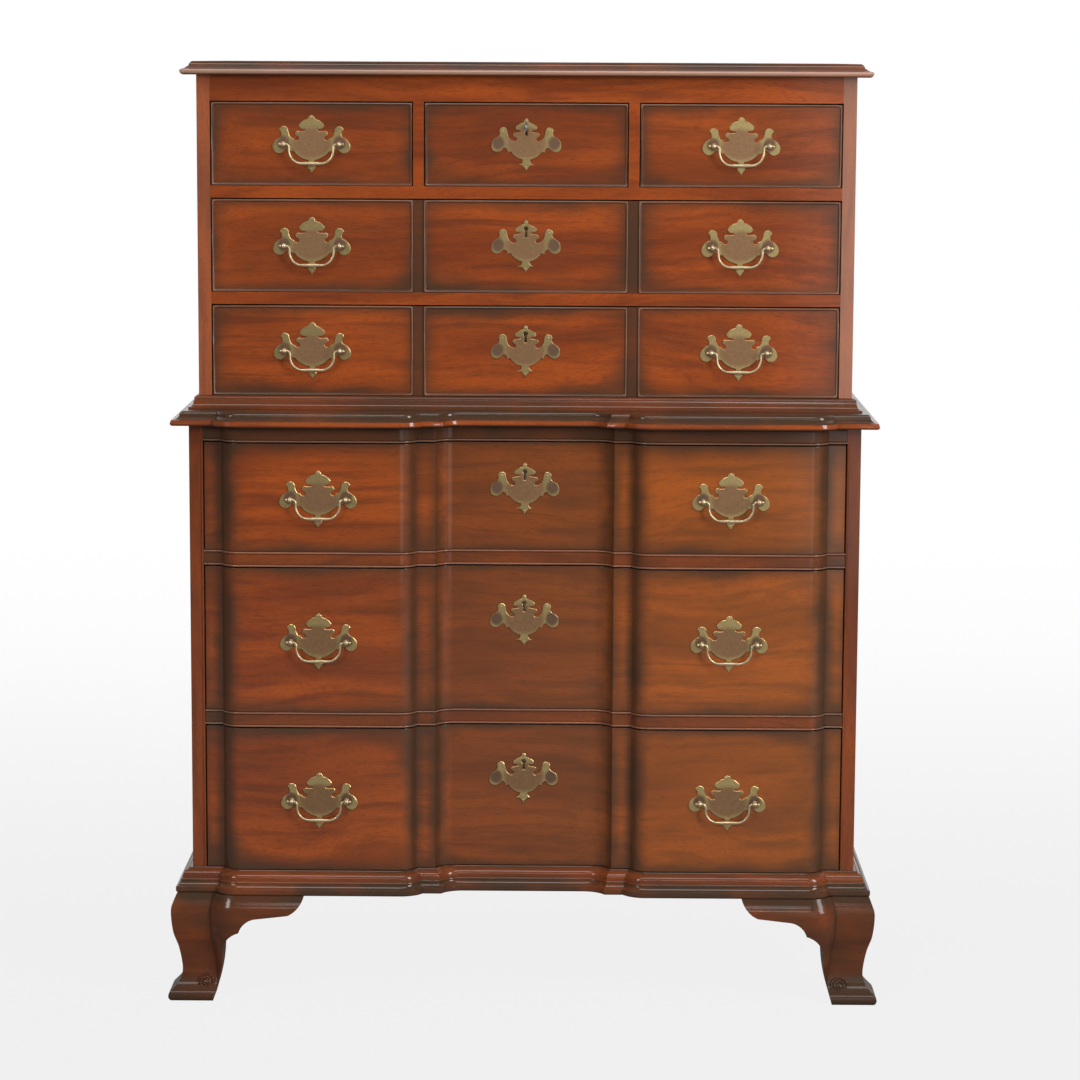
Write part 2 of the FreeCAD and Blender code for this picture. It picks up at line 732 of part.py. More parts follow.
def bail(x, y, z):
    """A swinging handle that hangs from its two posts, thicker in the middle of its grip."""
    pin_end = post_span / 2 + post_ball
    low = -bail_drop
    bend = bail_bend * (1 - math.sqrt(0.5))
    turn = bail_corner * (1 - math.sqrt(0.5))
    start = (0.0, low)
    steps = [
        ((bail_arm - bail_corner, low),),
        ((bail_arm - turn, low + turn), (bail_arm, low + bail_corner)),
        ((bail_arm, -bail_bend),),
        ((bail_arm + bend, -bend), (bail_arm + bail_bend, 0.0)),
        ((pin_end, 0.0),),
    ]
    left_start = flip(steps[-1][-1])
    full = flipped_back(start, steps) + steps
    spine = Part.Wire(path_edges(left_start, full, lambda p: Vec(x + p[0], y, z + p[1])))
    ring = Part.Wire(Part.makeCircle(bail_wire, Vec(x - pin_end, y, z), Vec(1, 0, 0)))
    wire = spine.makePipeShell([ring], True, False)
    reach = bail_arm - bail_corner
    belly = Part.Wire([
        Part.Arc(Vec(x - reach, y, z + low - bail_wire), Vec(x, y, z + low - bail_swell),
                 Vec(x + reach, y, z + low - bail_wire)).toShape(),
        Part.makeLine(Vec(x + reach, y, z + low - bail_wire), Vec(x + reach, y, z + low)),
        Part.makeLine(Vec(x + reach, y, z + low), Vec(x - reach, y, z + low)),
        Part.makeLine(Vec(x - reach, y, z + low), Vec(x - reach, y, z + low - bail_wire))])
    grip = Part.Face(belly).revolve(Vec(x, y, z + low), Vec(1, 0, 0), 360)
    knobs = [Part.makeSphere(bail_knob, Vec(x + side * (pin_end + bail_knob / 2), y, z))
             for side in (-1, 1)]
    return wire.fuse([grip] + knobs)


# ---------------------------------------------------------------- locks and key
def lock(drawer):
    """The keyhole plate on the front, and the lock case let into the back of the front."""
    hole_z = drawer.lock_z + keyhole_rise
    shield = plate(lock_top, lock_steps, 0.0, drawer.lock_y, drawer.lock_z, plate_thickness)
    shield = shield.cut(keyhole(0.0, drawer.lock_y - plate_thickness, hole_z, plate_thickness))
    case = box(*lock_room(drawer))
    seat = drawer.back_y - lock_let_in
    barrel = Part.makeCylinder(
        lock_barrel, lock_depth - 2 * lock_wall, Vec(0, seat + lock_wall, hole_z), Vec(0, 1, 0))
    return [shield, case.cut([barrel, keyhole(0.0, seat, hole_z, lock_wall)])]


def key(drawer):
    """A key whose bit stands in the lock's barrel and whose bow stands out of the front."""
    hole_z = drawer.lock_z + keyhole_rise
    seat = drawer.back_y - lock_let_in
    tip = seat + lock_depth - lock_wall - hole_clear
    bow_y = drawer.lock_y - key_reach
    shank = Part.makeCylinder(key_shank, tip - bow_y, Vec(0, bow_y, hole_z), Vec(0, 1, 0))
    bit = box(-key_bit_width / 2, key_bit_width / 2, tip - key_bit_length, tip,
              hole_z - key_bit, hole_z)
    centre = Vec(-key_bow_thickness / 2, bow_y - key_bow_hole, hole_z)
    ring = Part.makeCylinder(key_bow, key_bow_thickness, centre, Vec(1, 0, 0))
    eye = Part.makeCylinder(key_bow_hole, key_bow_thickness, centre, Vec(1, 0, 0))
    return ring.fuse([shank, bit]).cut(eye)


# ---------------------------------------------------------------- every drawer and its brass
for drawer in drawers:
    front, frame = drawer_parts(drawer)
    save("drawer_front_" + drawer.name, [front])
    save("drawer_box_" + drawer.name, frame)
    if drawer.pulls:
        save("pulls_" + drawer.name, pull_set(drawer))
    for centre in drawer.pulls:
        side = "" if len(drawer.pulls) == 1 else ("_left" if centre < 0 else "_right")
        save("bail_" + drawer.name + side,
             [bail(centre, drawer.pull_y - post_stand, drawer.pull_z)])
    if drawer.locked:
        save("lock_" + drawer.name, lock(drawer))
    if drawer.name == "top_center":
        save("key", [key(drawer)])
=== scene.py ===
import cmath
import json
import math

import bmesh
import bpy
from mathutils import Euler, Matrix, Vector
from mathutils.geometry import interpolate_bezier

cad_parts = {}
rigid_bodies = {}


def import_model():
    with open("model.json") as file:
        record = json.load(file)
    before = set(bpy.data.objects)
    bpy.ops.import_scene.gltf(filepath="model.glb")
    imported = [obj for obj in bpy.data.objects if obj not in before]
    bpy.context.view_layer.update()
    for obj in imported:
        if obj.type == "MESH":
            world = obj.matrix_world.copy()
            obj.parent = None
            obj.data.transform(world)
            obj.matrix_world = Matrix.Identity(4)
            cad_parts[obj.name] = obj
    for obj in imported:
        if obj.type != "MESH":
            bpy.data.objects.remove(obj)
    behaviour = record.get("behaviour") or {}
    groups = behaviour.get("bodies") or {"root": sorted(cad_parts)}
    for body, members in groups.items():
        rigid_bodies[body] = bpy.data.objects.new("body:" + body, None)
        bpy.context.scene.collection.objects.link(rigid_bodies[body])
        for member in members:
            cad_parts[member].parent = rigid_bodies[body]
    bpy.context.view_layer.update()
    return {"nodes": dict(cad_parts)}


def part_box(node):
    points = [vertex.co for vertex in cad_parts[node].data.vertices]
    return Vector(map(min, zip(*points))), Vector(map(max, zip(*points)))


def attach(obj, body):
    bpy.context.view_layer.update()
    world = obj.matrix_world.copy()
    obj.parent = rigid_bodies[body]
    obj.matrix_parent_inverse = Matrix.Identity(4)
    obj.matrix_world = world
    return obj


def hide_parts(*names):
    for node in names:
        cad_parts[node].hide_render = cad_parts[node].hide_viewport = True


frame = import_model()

# ---------------- bracket feet
# Four mahogany ogee bracket feet under the corners of the lower case. The two front feet carry
# the blocking down the leg to a carved scroll above the toe; the rear feet have a plain back
# bracket. Softwood blocks are glued into the corners behind each of them.
mm = 0.001


def span(node):
    """A CAD node's lowest and highest corners, in millimetres."""
    low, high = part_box(node)
    return low / mm, high / mm


def arc(centre, radius, start, end, parts):
    """Points of an arc, from one angle to another."""
    turns = [start + (end - start) * step / parts for step in range(parts + 1)]
    return [(centre[0] + radius * math.cos(turn), centre[1] + radius * math.sin(turn))
            for turn in turns]


def arc_through(a, b, c, parts):
    """Points along the arc from a through b to c, without a."""
    a, b, c = complex(*a), complex(*b), complex(*c)
    corner = (c - a) / (b - a)
    centre = a + (b - a) * (corner - abs(corner) ** 2) / (2j * corner.imag)
    sweep = cmath.phase((c - centre) / (a - centre)) % math.tau
    if corner.imag < 0:
        sweep -= math.tau
    start = cmath.phase(a - centre)
    return arc((centre.real, centre.imag), abs(a - centre), start, start + sweep, parts)[1:]


def trace(start, steps, parts=6):
    """An outline; a step (x, y) is straight, and (x, y, x, y) is an arc through its first point."""
    points = [start]
    for step in steps:
        if len(step) == 2:
            points.append(step)
        else:
            points += arc_through(points[-1], step[:2], step[2:], parts)
    return points


def smooth_through(points, parts):
    """A Catmull-Rom curve through the points."""
    ends = [Vector(point) for point in [points[0]] + points + [points[-1]]]
    curve = [points[0]]
    for p0, p1, p2, p3 in zip(ends, ends[1:], ends[2:], ends[3:]):
        handles = p1 + (p2 - p0) / 6, p2 - (p3 - p1) / 6
        curve += [tuple(place) for place in interpolate_bezier(p1, *handles, p2, parts + 1)[1:]]
    return curve


def at_height(outline, height):
    """The first value of an outline of (value, height) points, at a height."""
    for (low, z0), (high, z1) in zip(outline, outline[1:]):
        if height <= z1:
            return low + (high - low) * max(height - z0, 0) / (z1 - z0)
    return outline[-1][0]


def loft(loops, closed=False):
    """A solid through loops of points in millimetres, capped at its ends or closed in a ring."""
    solid = bmesh.new()
    rings = [[solid.verts.new(Vector(point) * mm) for point in loop] for loop in loops]
    for ring, following in zip(rings, rings[1:] + (rings[:1] if closed else [])):
        for index in range(len(ring)):
            after = (index + 1) % len(ring)
            solid.faces.new((ring[index], ring[after], following[after], following[index]))
    if not closed:
        solid.faces.new(rings[0])
        solid.faces.new(rings[-1])
    bmesh.ops.recalc_face_normals(solid, faces=solid.faces)
    return solid


def block(x0, x1, y0, y1, z0, z1):
    """A plain board or block."""
    return loft([[(x0, y0, z), (x1, y0, z), (x1, y1, z), (x0, y1, z)] for z in (z0, z1)])


def mirrored(solid):
    """The same piece for the other side of the chest."""
    other = solid.copy()
    bmesh.ops.scale(other, vec=(-1, 1, 1), verts=other.verts)
    bmesh.ops.reverse_faces(other, faces=other.faces)
    return other


def both(solid):
    """The piece for each side of the chest, left and right."""
    return [mirrored(solid), solid]


def joined(solids):
    """One mesh of several closed solids."""
    mesh = bpy.data.meshes.new("joined")
    whole = bmesh.new()
    for solid in solids:
        solid.to_mesh(mesh)
        whole.from_mesh(mesh)
        solid.free()
    bpy.data.meshes.remove(mesh)
    return whole


def placed(name, data):
    """An object in the scene."""
    thing = bpy.data.objects.new(name, data)
    bpy.context.scene.collection.objects.link(thing)
    return thing


def baked(piece):
    """The piece with its modifiers made part of its mesh."""
    graph = bpy.context.evaluated_depsgraph_get()
    mesh = bpy.data.meshes.new_from_object(piece.evaluated_get(graph))
    piece.modifiers.clear()
    piece.data = mesh
    return piece


def smoothed(piece, crease=35):
    """Round surfaces shade round and flats stay flat; creases sharper than the angle stay."""
    for polygon in piece.data.polygons:
        polygon.use_smooth = True
    piece.data.set_sharp_from_angle(angle=math.radians(crease))
    flats = piece.modifiers.new("flats", "WEIGHTED_NORMAL")
    flats.keep_sharp = True
    flats.weight = 80
    return baked(piece)


def piece_of(name, solid, finish, edge=0, crease=35, edge_angle=40):
    """An object of a solid, with its arrises rounded by edge millimetres."""
    mesh = bpy.data.meshes.new(name)
    solid.to_mesh(mesh)
    solid.free()
    mesh.materials.append(finish)
    piece = placed(name, mesh)
    if edge > 0:
        bevel = piece.modifiers.new("arris", "BEVEL")
        bevel.width = edge * mm
        bevel.segments = 2
        bevel.limit_method = "ANGLE"
        bevel.angle_limit = math.radians(edge_angle)
        baked(piece)
    return smoothed(piece, crease)


def fit(piece, body, node=None):
    """Hangs a finished piece on its body, in place of the CAD node that it stands for, if any."""
    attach(piece, body)
    if node:
        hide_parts(node)


def case_piece(name, node, solid, finish, edge=0, edge_angle=40):
    """A mahogany piece of the case, in place of a CAD node."""
    fit(piece_of(name, solid, finish, edge, edge_angle=edge_angle), "case", node)


def add_node(tree, kind, inputs=None, **settings):
    """A node of a tree; its inputs are values, other nodes or their sockets."""
    made = tree.nodes.new(kind)
    for name, value in settings.items():
        setattr(made, name, value)
    for key, value in (inputs or {}).items():
        if isinstance(value, bpy.types.Node):
            value = value.outputs[0]
        if isinstance(value, bpy.types.NodeSocket):
            tree.links.new(value, made.inputs[key])
        else:
            made.inputs[key].default_value = value
    return made


def operators(operation):
    """An operator that adds a Math node, and its reflected form."""
    return (lambda signal, other: signal.math(operation, signal, other),
            lambda signal, other: signal.math(operation, other, signal))


class Signal:
    """One output in a finish's node tree; arithmetic on it adds Math nodes."""

    def __init__(self, finish, socket):
        self.finish = finish
        self.socket = socket

    def math(self, operation, *values):
        return self.finish.node("ShaderNodeMath", dict(enumerate(values)), operation=operation)

    __add__, __radd__ = operators("ADD")
    __sub__, __rsub__ = operators("SUBTRACT")
    __mul__, __rmul__ = operators("MULTIPLY")
    __truediv__, __rtruediv__ = operators("DIVIDE")
    __gt__, __lt__ = operators("GREATER_THAN")
    least = operators("MINIMUM")[0]
    most = operators("MAXIMUM")[0]

    def __abs__(self):
        return self.math("ABSOLUTE", self)

    def part(self, axis):
        """One number of a vector: X, Y or Z."""
        return self.finish.node("ShaderNodeSeparateXYZ", {0: self}, output=axis)

    def fade(self, low, high, start=0, end=1):
        """Runs smoothly from start to end as the signal runs from low to high."""
        inputs = {0: self, 1: low, 2: high, 3: start, 4: end}
        return self.finish.node("ShaderNodeMapRange", inputs, interpolation_type="SMOOTHSTEP")


class Finish:
    """A material or a world, whose node tree is built by calls that return signals."""

    def __init__(self, name, kind="materials"):
        self.owner = getattr(bpy.data, kind).new(name)
        self.owner.use_nodes = True
        self.tree = self.owner.node_tree
        self.tree.nodes.clear()

    def node(self, kind, inputs=None, output=0, **settings):
        inputs = {key: value.socket if isinstance(value, Signal) else value
                  for key, value in (inputs or {}).items()}
        made = add_node(self.tree, kind, inputs, **settings)
        return Signal(self, made.outputs[output]) if made.outputs else None

    def place(self):
        """Where a point is on the chest at rest, in metres."""
        return self.node("ShaderNodeTexCoord", output="Object")

    def mapped(self, place, **how):
        return self.node("ShaderNodeMapping", {"Vector": place, **how})

    def noise(self, place, stretch, detail, roughness=0.55, distortion=0, shift=(0, 0, 0)):
        """Noise with stretch cells a metre along each axis."""
        return self.node("ShaderNodeTexNoise", {
            "Vector": self.mapped(place, Scale=stretch, Location=shift), "Scale": 1,
            "Detail": detail, "Roughness": roughness, "Distortion": distortion})

    def mixed(self, share, first, second):
        inputs = {0: share, 6: first, 7: second}
        return self.node("ShaderNodeMix", inputs, output=2, data_type="RGBA")

    def surface(self, colour, rough, height, strength, depth, **constants):
        """The finish's Principled surface, bumped by a height; constants go on its own sockets."""
        bumps = self.node("ShaderNodeBump", {
            "Strength": strength, "Distance": depth, "Height": height})
        inputs = {name.replace("_", " "): value for name, value in constants.items()}
        shader = self.node("ShaderNodeBsdfPrincipled", {
            "Base Color": colour, "Roughness": rough, "Normal": bumps, **inputs})
        self.node("ShaderNodeOutputMaterial", {"Surface": shader})
        return self.owner


grain_turns = {"x": (0, 0, 0), "y": (0, 0, math.pi / 2), "z": (0, math.pi / 2, 0)}


def mitred_grain(finish, place, half, front):
    """Grain along X on a front strip and along Y on the side strips, meeting at the mitres."""
    past_side = abs(place.part("X")) - half * mm
    past_front = front * mm - place.part("Y")
    straight, turned = (finish.mapped(place, Rotation=grain_turns[axis]) for axis in "xy")
    return finish.node("ShaderNodeMix", {0: past_side > past_front, 4: straight, 5: turned},
                       output=1, data_type="VECTOR")


def edge_reach(across, up, bands, low, high):
    """How far a point is inside its panel, less in the corners; bands are (from, to) across."""
    rise = (up - low).least(high - up).most(0.1)
    inside = 0.1
    for start, end in bands:
        inside = (across - start).least(end - across).most(inside)
    return rise * inside * 1.3 / (rise + inside)


glow = (0.3, 0.06, 0.0095, 1)
heart = (0.176, 0.035, 0.008, 1)
vein = (0.082, 0.019, 0.008, 1)
glaze = (0.05, 0.025, 0.013, 1)
# The pale tone of painted highlights and sheen.
painted_sheen = (0.42, 0.27, 0.2, 1)
glaze_reach, glaze_wander = 26, 44


def mahogany(name, grain="x", bands=None, low=0, high=0, shade=0, mitre=None, shift=0,
             rubbed=None, bead_sheen=False, tint_and_light_to_right=None, beads=(), crease_shaded=False, hollow=0,
             satin_from=None):
    """Lacquered mahogany: ribbon figure, flecks, dark glaze rubbed towards the panels' edges.

    The glaze has the strength shade, or another one in a range of heights that is rubbed
    (from, to, softness, strength); on the feet and the frieze under the waist the darker band
    is painted shade as well as glaze. The strength hollow darkens the middle of a hollow front:
    painted shade in the recess, with glaze. Bead crests round a panel, and lines at (height,
    half width, strength), are painted paler: painted highlights and sheen, partly wear. A pale
    tone, or a golden one on the lower fronts, mixed in by (left, right, colour) rises towards
    the right: painted light from the right, and on the lower fronts also the wood's golden hue.
    A piece marked in its mesh gets painted shade in its creases.
    The lacquer is satin above satin_from.
    """
    finish = Finish(name)
    place = finish.place()
    across = abs(place.part("X")) / mm
    up = place.part("Z") / mm
    if mitre:
        wood = mitred_grain(finish, place, *mitre)
    else:
        wood = finish.mapped(place, Rotation=grain_turns[grain])
    inputs = {0: finish.noise(place, (2.6, 2.6, 3.4), 1, shift=(shift, 0, shift)),
              1: (0, 0.09, 0.09), 2: wood}
    wood = finish.node("ShaderNodeVectorMath", inputs, operation="MULTIPLY_ADD")
    wood = finish.mapped(wood, Location=(shift, shift, shift))
    figure = finish.noise(wood, (2.2, 14, 14), 3, 0.55, 0.6)
    ribbon = finish.noise(wood, (5, 75, 75), 4, 0.6, 0.4)
    fleck = finish.noise(wood, (75, 900, 900), 2, 0.5)
    pore = finish.noise(wood, (38, 1500, 1500), 1, 0.5)
    colour = finish.mixed(figure.fade(0.32, 0.68), heart, glow)
    for lines in (ribbon.fade(0.42, 0.72, 0, 0.6), fleck.fade(0.5, 0.7, 0, 0.42),
                  pore.fade(0.6, 0.72, 0, 0.5)):
        colour = finish.mixed(lines, colour, vein)
    # Painted light: a tone that rises towards the right, where the light falls; on the lower fronts
    # it is also the wood's golden hue.
    if tint_and_light_to_right:
        left, right, side_tone = tint_and_light_to_right
        colour = finish.mixed(place.part("X").fade(-0.47, 0.47, left, right), colour, side_tone)
    dark = shade
    wander = finish.noise(place, (7, 7, 12), 3, 0.6)
    if rubbed:
        start, end, soft, strength = rubbed
        dark = (up - start).least(end - up).fade(-soft, soft, shade, strength)
    if bands:
        inset = edge_reach(across, up, bands, low, high)
        reach = inset + (wander - 0.5) * glaze_wander
        dark = reach.fade(-6, glaze_reach, 0.95, 0).most(dark)
        # Painted shade in the recess of a hollow front, on top of the glaze.
        if hollow:
            dark = across.fade(bands[0][1] - 30, bands[0][1], hollow, 0).most(dark)
        dark = dark + wander.fade(0.5, 0.75, 0, 0.22)
    elif shade:
        dark = dark * wander.fade(0.3, 0.65, 0.7, 1.25)
    # Painted shade in the creases marked on the mesh.
    if crease_shaded:
        darkening = finish.node("ShaderNodeAttribute", output="Fac", attribute_name="darkening")
        dark = darkening.fade(0, 1, 0, 0.95).most(dark)
    colour = finish.mixed(dark, colour, glaze)
    # Painted highlights: paler lines along bead crests and at given heights, partly wear.
    sheen_lines = [abs(up - height).fade(0.3 * wide, wide, strength, 0)
              for height, wide, strength in beads]
    if bead_sheen:
        sheen_lines.append(inset.fade(0.5, 1.2) * inset.fade(1.5, 2.6, 0.28, 0))
    for sheen_line in sheen_lines:
        colour = finish.mixed(sheen_line, colour, painted_sheen)
    rough = ribbon.fade(0.3, 0.7, 0.3, 0.38)
    coat = 0.35 if crease_shaded else 0.6
    if satin_from:
        satin = up.fade(satin_from, satin_from + 1)
        rough = rough + satin * 0.3
        coat = satin.fade(0, 1, coat, 0.04)
    return finish.surface(colour, rough, pore.fade(0.55, 0.75, 1, 0), 0.1, 0.0004,
                          Specular_IOR_Level=0.08, Coat_Weight=coat, Coat_Roughness=0.1)


def softwood(name, grain="x"):
    """Pale secondary wood, planed and oiled, with broad annual rings and end-to-end streaks."""
    finish = Finish(name)
    wood = finish.mapped(finish.place(), Rotation=grain_turns[grain])
    rings = finish.noise(wood, (0.8, 9, 9), 2, 0.45)
    rings = rings.math("SINE", rings * 130)
    streak = finish.noise(wood, (9, 260, 260), 3, 0.6)
    fibre = finish.noise(wood, (90, 1600, 1600), 1, 0.5)
    colour = finish.mixed(rings.fade(-0.4, 1), (0.61, 0.4, 0.21, 1), (0.5, 0.3, 0.14, 1))
    colour = finish.mixed(streak.fade(0.45, 0.75, 0, 0.45), colour, (0.3, 0.175, 0.085, 1))
    return finish.surface(colour, fibre.fade(0.3, 0.7, 0.52, 0.66), fibre, 0.12, 0.0005)


lower_half = span("lower_sides")[1].x
foot_top = span("foot_front_left")[1].z
back_y = span("lower_back_panel")[1].y
bead_radius = 1.6
front_y = span("lower_sides")[0].y + bead_radius
board_thickness = 28
rear_board = 22
relief = 19
block_outer = 435.5
relief_low, relief_high = 15, 56
relief_least = 2
least_block = 5

toe = trace((31, 0), [(34.3, 6, 31.8, 13.5)])
ogee = smooth_through([
    (31.8, 13.5), (19.6, 25.5), (15.2, 38.5), (15.4, 53.5), (19.8, 78.5), (27, 102.5),
    (29.7, 133.5), (25.8, 148.5), (20.6, foot_top)], 6)
foot_outline = toe + ogee[1:]
bracket_outline = trace((30.7, 0), [
    (35.7, 17.5), (41.4, 41.5, 44.7, 72.5), (51.5, 92.5, 69.8, 105.1), (77, 117.7, 92.5, 126.1),
    (141.3, 131.8), (156.5, 143.5, 164.7, foot_top)], 8)
foot_levels = sorted({round(z, 3) for value, z in foot_outline + bracket_outline})


def spread(low, high, count):
    """Evenly spaced values after low, up to high."""
    return [low + (high - low) * step / count for step in range(1, count + 1)]


def front_foot_loop(z):
    """The right front foot cut at one height: block, scroll line, flat, side and inside."""
    out = at_height(foot_outline, z)
    inner = lower_half - at_height(bracket_outline, z)
    share = min(max((z - relief_low) / (relief_high - relief_low), 0), 1)
    depth = relief_least + (relief - relief_least) * share
    turn = depth + out
    centre = block_outer - depth
    line = max(centre + math.sqrt(turn ** 2 - out ** 2), inner + least_block)
    middle = max(centre, inner + 0.25 * (line - inner))
    outer = lower_half + out
    loop = []
    for x in [inner] + spread(inner, middle, 5) + spread(middle, line, 12):
        if x <= centre:
            y = front_y - turn
        else:
            y = front_y - max(math.sqrt(max(turn ** 2 - (x - centre) ** 2, 0)), out)
        loop.append((x, y, z))
    loop += [(x, front_y - out, z) for x in [line + 3] + spread(line + 3, outer, 4)]
    rear = front_y + at_height(bracket_outline, z)
    loop += [(outer, y, z) for y in spread(front_y - out, rear, 5)]
    side = lower_half - board_thickness
    loop += [(side, rear, z), (side, front_y + board_thickness, z)]
    loop.append((inner, front_y + board_thickness, z))
    return loop


def with_painted_shade(solid, shares):
    """The solid with a share of painted shade marked on each vertex."""
    darkening = solid.verts.layers.float.new("darkening")
    for vert, share in zip(solid.verts, shares):
        vert[darkening] = share
    return solid


def rear_foot_loop(z):
    """The right rear foot cut at one height: an ogee side bracket and a plain rear one."""
    outer = lower_half + at_height(foot_outline, z)
    reach = at_height(bracket_outline, z)
    side = lower_half - board_thickness
    loop = [(lower_half - reach, back_y, z), (outer, back_y, z)]
    loop += [(outer, y, z) for y in spread(back_y, back_y - reach, 5)]
    loop += [(side, back_y - reach, z), (side, back_y - rear_board, z)]
    return loop + [(lower_half - reach, back_y - rear_board, z)]


# Painted shade along the crease where the blocked face meets the flat, for points 16 to 18 of each
# foot loop.
line_shade = {16: 0.6, 17: 1, 18: 0.55}
scroll_x, scroll_z, scroll_radius = lower_half - 20.6, 25.6, 12
scroll_out, scroll_tilt = 24.5, 0.34
coil_pitch, groove_half, groove_deep = 0.38, 0.3, 1.8
eye_share, eye_rise = 0.45, 1.4


def scroll(rings=28, spokes=72):
    """The carved scroll above a right front toe: a spiral roll round a raised eye."""
    loops = []
    grooves = [0] * spokes
    for ring in range(rings, -1, -1):
        share = max(ring / rings, 0.01)
        dome = eye_rise * min(share / eye_share, 1) ** 3
        loop = []
        circle = arc((0, 0), scroll_radius * share, 0, math.tau, spokes)[:-1]
        for spoke, (x, z) in enumerate(circle):
            coil = (share - 0.5) / coil_pitch + spoke / spokes
            near = abs(coil - round(coil)) / groove_half
            grooves.append(max(0, 1 - near * near) if coil > -0.5 else 0)
            y = front_y - scroll_out + scroll_tilt * z + groove_deep * grooves[-1] + dome
            loop.append((scroll_x + x, y, scroll_z + z))
        loops.append(loop)
    back = [(x, front_y, z) for x, y, z in loops[0]]
    # The carved groove is marked for painted shade, as deep as it is cut.
    return with_painted_shade(loft([back] + loops), grooves)


# The feet's glaze is heaviest at the toe and at the top of the knee, outside the rubbed band: the
# knee top is painted shadow under the base moulding, and the toe is darker towards the floor.
feet_finish = mahogany("mahogany_feet", shade=1.1, rubbed=(36, 148, 10, 0.68), crease_shaded=True)
loops = [front_foot_loop(z) for z in foot_levels]
shares = [line_shade.get(index, 0) for loop in loops for index in range(len(loop))]
front_foot = joined([with_painted_shade(loft(loops), shares), scroll()])
rear_foot = loft([rear_foot_loop(z) for z in foot_levels])
for name, solid in (("front", front_foot), ("rear", rear_foot)):
    for side, half in zip(("left", "right"), both(solid)):
        case_piece(f"ogee_foot_{name}_{side}", f"foot_{name}_{side}", half, feet_finish, 0.9, 50)

glue_blocks = []
block_side, strip_side, strip_length, upright = 38, 18, 60, 48.5
for corner_y, inward in ((front_y + board_thickness, 1), (back_y - rear_board, -1)):
    x = lower_half - board_thickness
    for x0, x1, start, length, rise in (
            (x - block_side, x, 0, block_side, upright),
            (x - strip_side, x, block_side, strip_length, strip_side),
            (x - block_side - strip_length, x - block_side, 0, strip_side, strip_side)):
        ends = sorted((corner_y + inward * start, corner_y + inward * (start + length)))
        solid = block(x0, x1, *ends, foot_top - rise, foot_top)
        glue_blocks += both(solid)
blocks = piece_of("foot_glue_blocks", joined(glue_blocks), softwood("softwood_blocks"), edge=0.8)
fit(blocks, "case")

# ---------------- base moulding
# A mahogany moulding on the front and both sides of the lower case, mitred at the corners. Its
# front strip follows the blocking and is the lowest rail, on which the bottom drawer closes.
block_inner = 155.3
recess_edge = 128.5
block_turn = 28
turn_growth = 0.4
corner_lead = 0.47
arris = 0.9
turn_parts = 14
strip_back = span("lower_bottom_board")[0].y
lower_floor = span("base_moulding")[1].z


def eased(before, corner, after, size=arris, parts=3):
    """A corner of a plan, worn a little round."""
    before, corner, after = Vector(before), Vector(corner), Vector(after)
    start = corner + (before - corner).normalized() * size
    end = corner + (after - corner).normalized() * size
    handles = start.lerp(corner, 2 / 3), end.lerp(corner, 2 / 3)
    return [tuple(place) for place in interpolate_bezier(start, *handles, end, parts + 1)]


def blocked_line(out, end_x=None):
    """The blocked front in plan, moved out from the drawer faces: convex, hollow, convex."""
    end_x = end_x or lower_half + out
    flat = front_y - out
    turn = block_turn + turn_growth * out
    lead = corner_lead * out
    sweep = math.acos(1 - relief / turn)
    reach = turn * math.sin(sweep)
    hollow = (recess_edge - lead - reach, flat + relief - turn)
    inner = (block_inner - lead + reach, flat - relief + turn)
    outer = (block_outer + lead - reach, flat - relief + turn)
    up = math.pi / 2
    right = arc(hollow, turn, up, up - sweep, turn_parts)
    corner = right.pop()
    right += eased(right[-1], corner, (block_inner, flat))
    right += arc(inner, turn, -up - sweep, -up, turn_parts)
    right += arc(outer, turn, -up, sweep - up, turn_parts)
    right += eased(right[-1], (end_x, flat), (end_x, back_y))
    left = [(-x, y) for x, y in reversed(right)]
    return left + right


def closed_plan(line, rear):
    """A plan closed by straight sides and a straight back."""
    end_x = line[-1][0]
    return line + [(end_x, rear), (-end_x, rear)]


def strip_plan(line, half, inside):
    """A plan open at the back: front strip and two side strips."""
    end_x = line[-1][0]
    return line + [(end_x, back_y), (half, back_y), (half, inside), (-half, inside),
                   (-half, back_y), (-end_x, back_y)]


def moulding(section, low, plan_at):
    """A solid of a plan that moves out and in with its height, as the section says."""
    return loft([[(x, y, low + up) for x, y in plan_at(out)] for out, up in section])


def moulded_board(name, node, low, section, plan_at, finish, edge=0.35, **look):
    """A moulding or board of the case whose edge has a section of (out, up) steps."""
    solid = moulding(trace(section[0], section[1:]), low, plan_at)
    case_piece(name, node, solid, mahogany(finish, **look), edge)


moulded_board(
    "base_moulding_run", "base_moulding", foot_top,
    [(19.7, 0), (22, 1.2, 22.8, 3.6), (22.8, 8.5), (18.4, 11, 15.6, 15.4), (15.8, 18, 13.7, 19.6),
     (12.6, 26.6, 6.2, 31.4), (4.1, lower_floor - foot_top)],
    lambda out: strip_plan(blocked_line(out), lower_half, strip_back),
    "mahogany_base", shade=0.85, mitre=(lower_half, front_y), shift=0.7,
    rubbed=(foot_top + 19, lower_floor - 2, 2.5, 0.42))

# ---------------- lower case
# Two solid mahogany sides with a bead worked on their inner front edges, and three rails that
# follow the blocking, each with a bead along both edges. The back, bottom board, runners and
# kickers inside are pale secondary wood.
lower_inner = lower_half - 20
waist_z = span("lower_sides")[1].z
back_rabbet = 10
back_face = span("lower_back_panel")[0].y
lower_frieze_height = 23.4
lower_top_z = waist_z - lower_frieze_height
quirk = 0.5


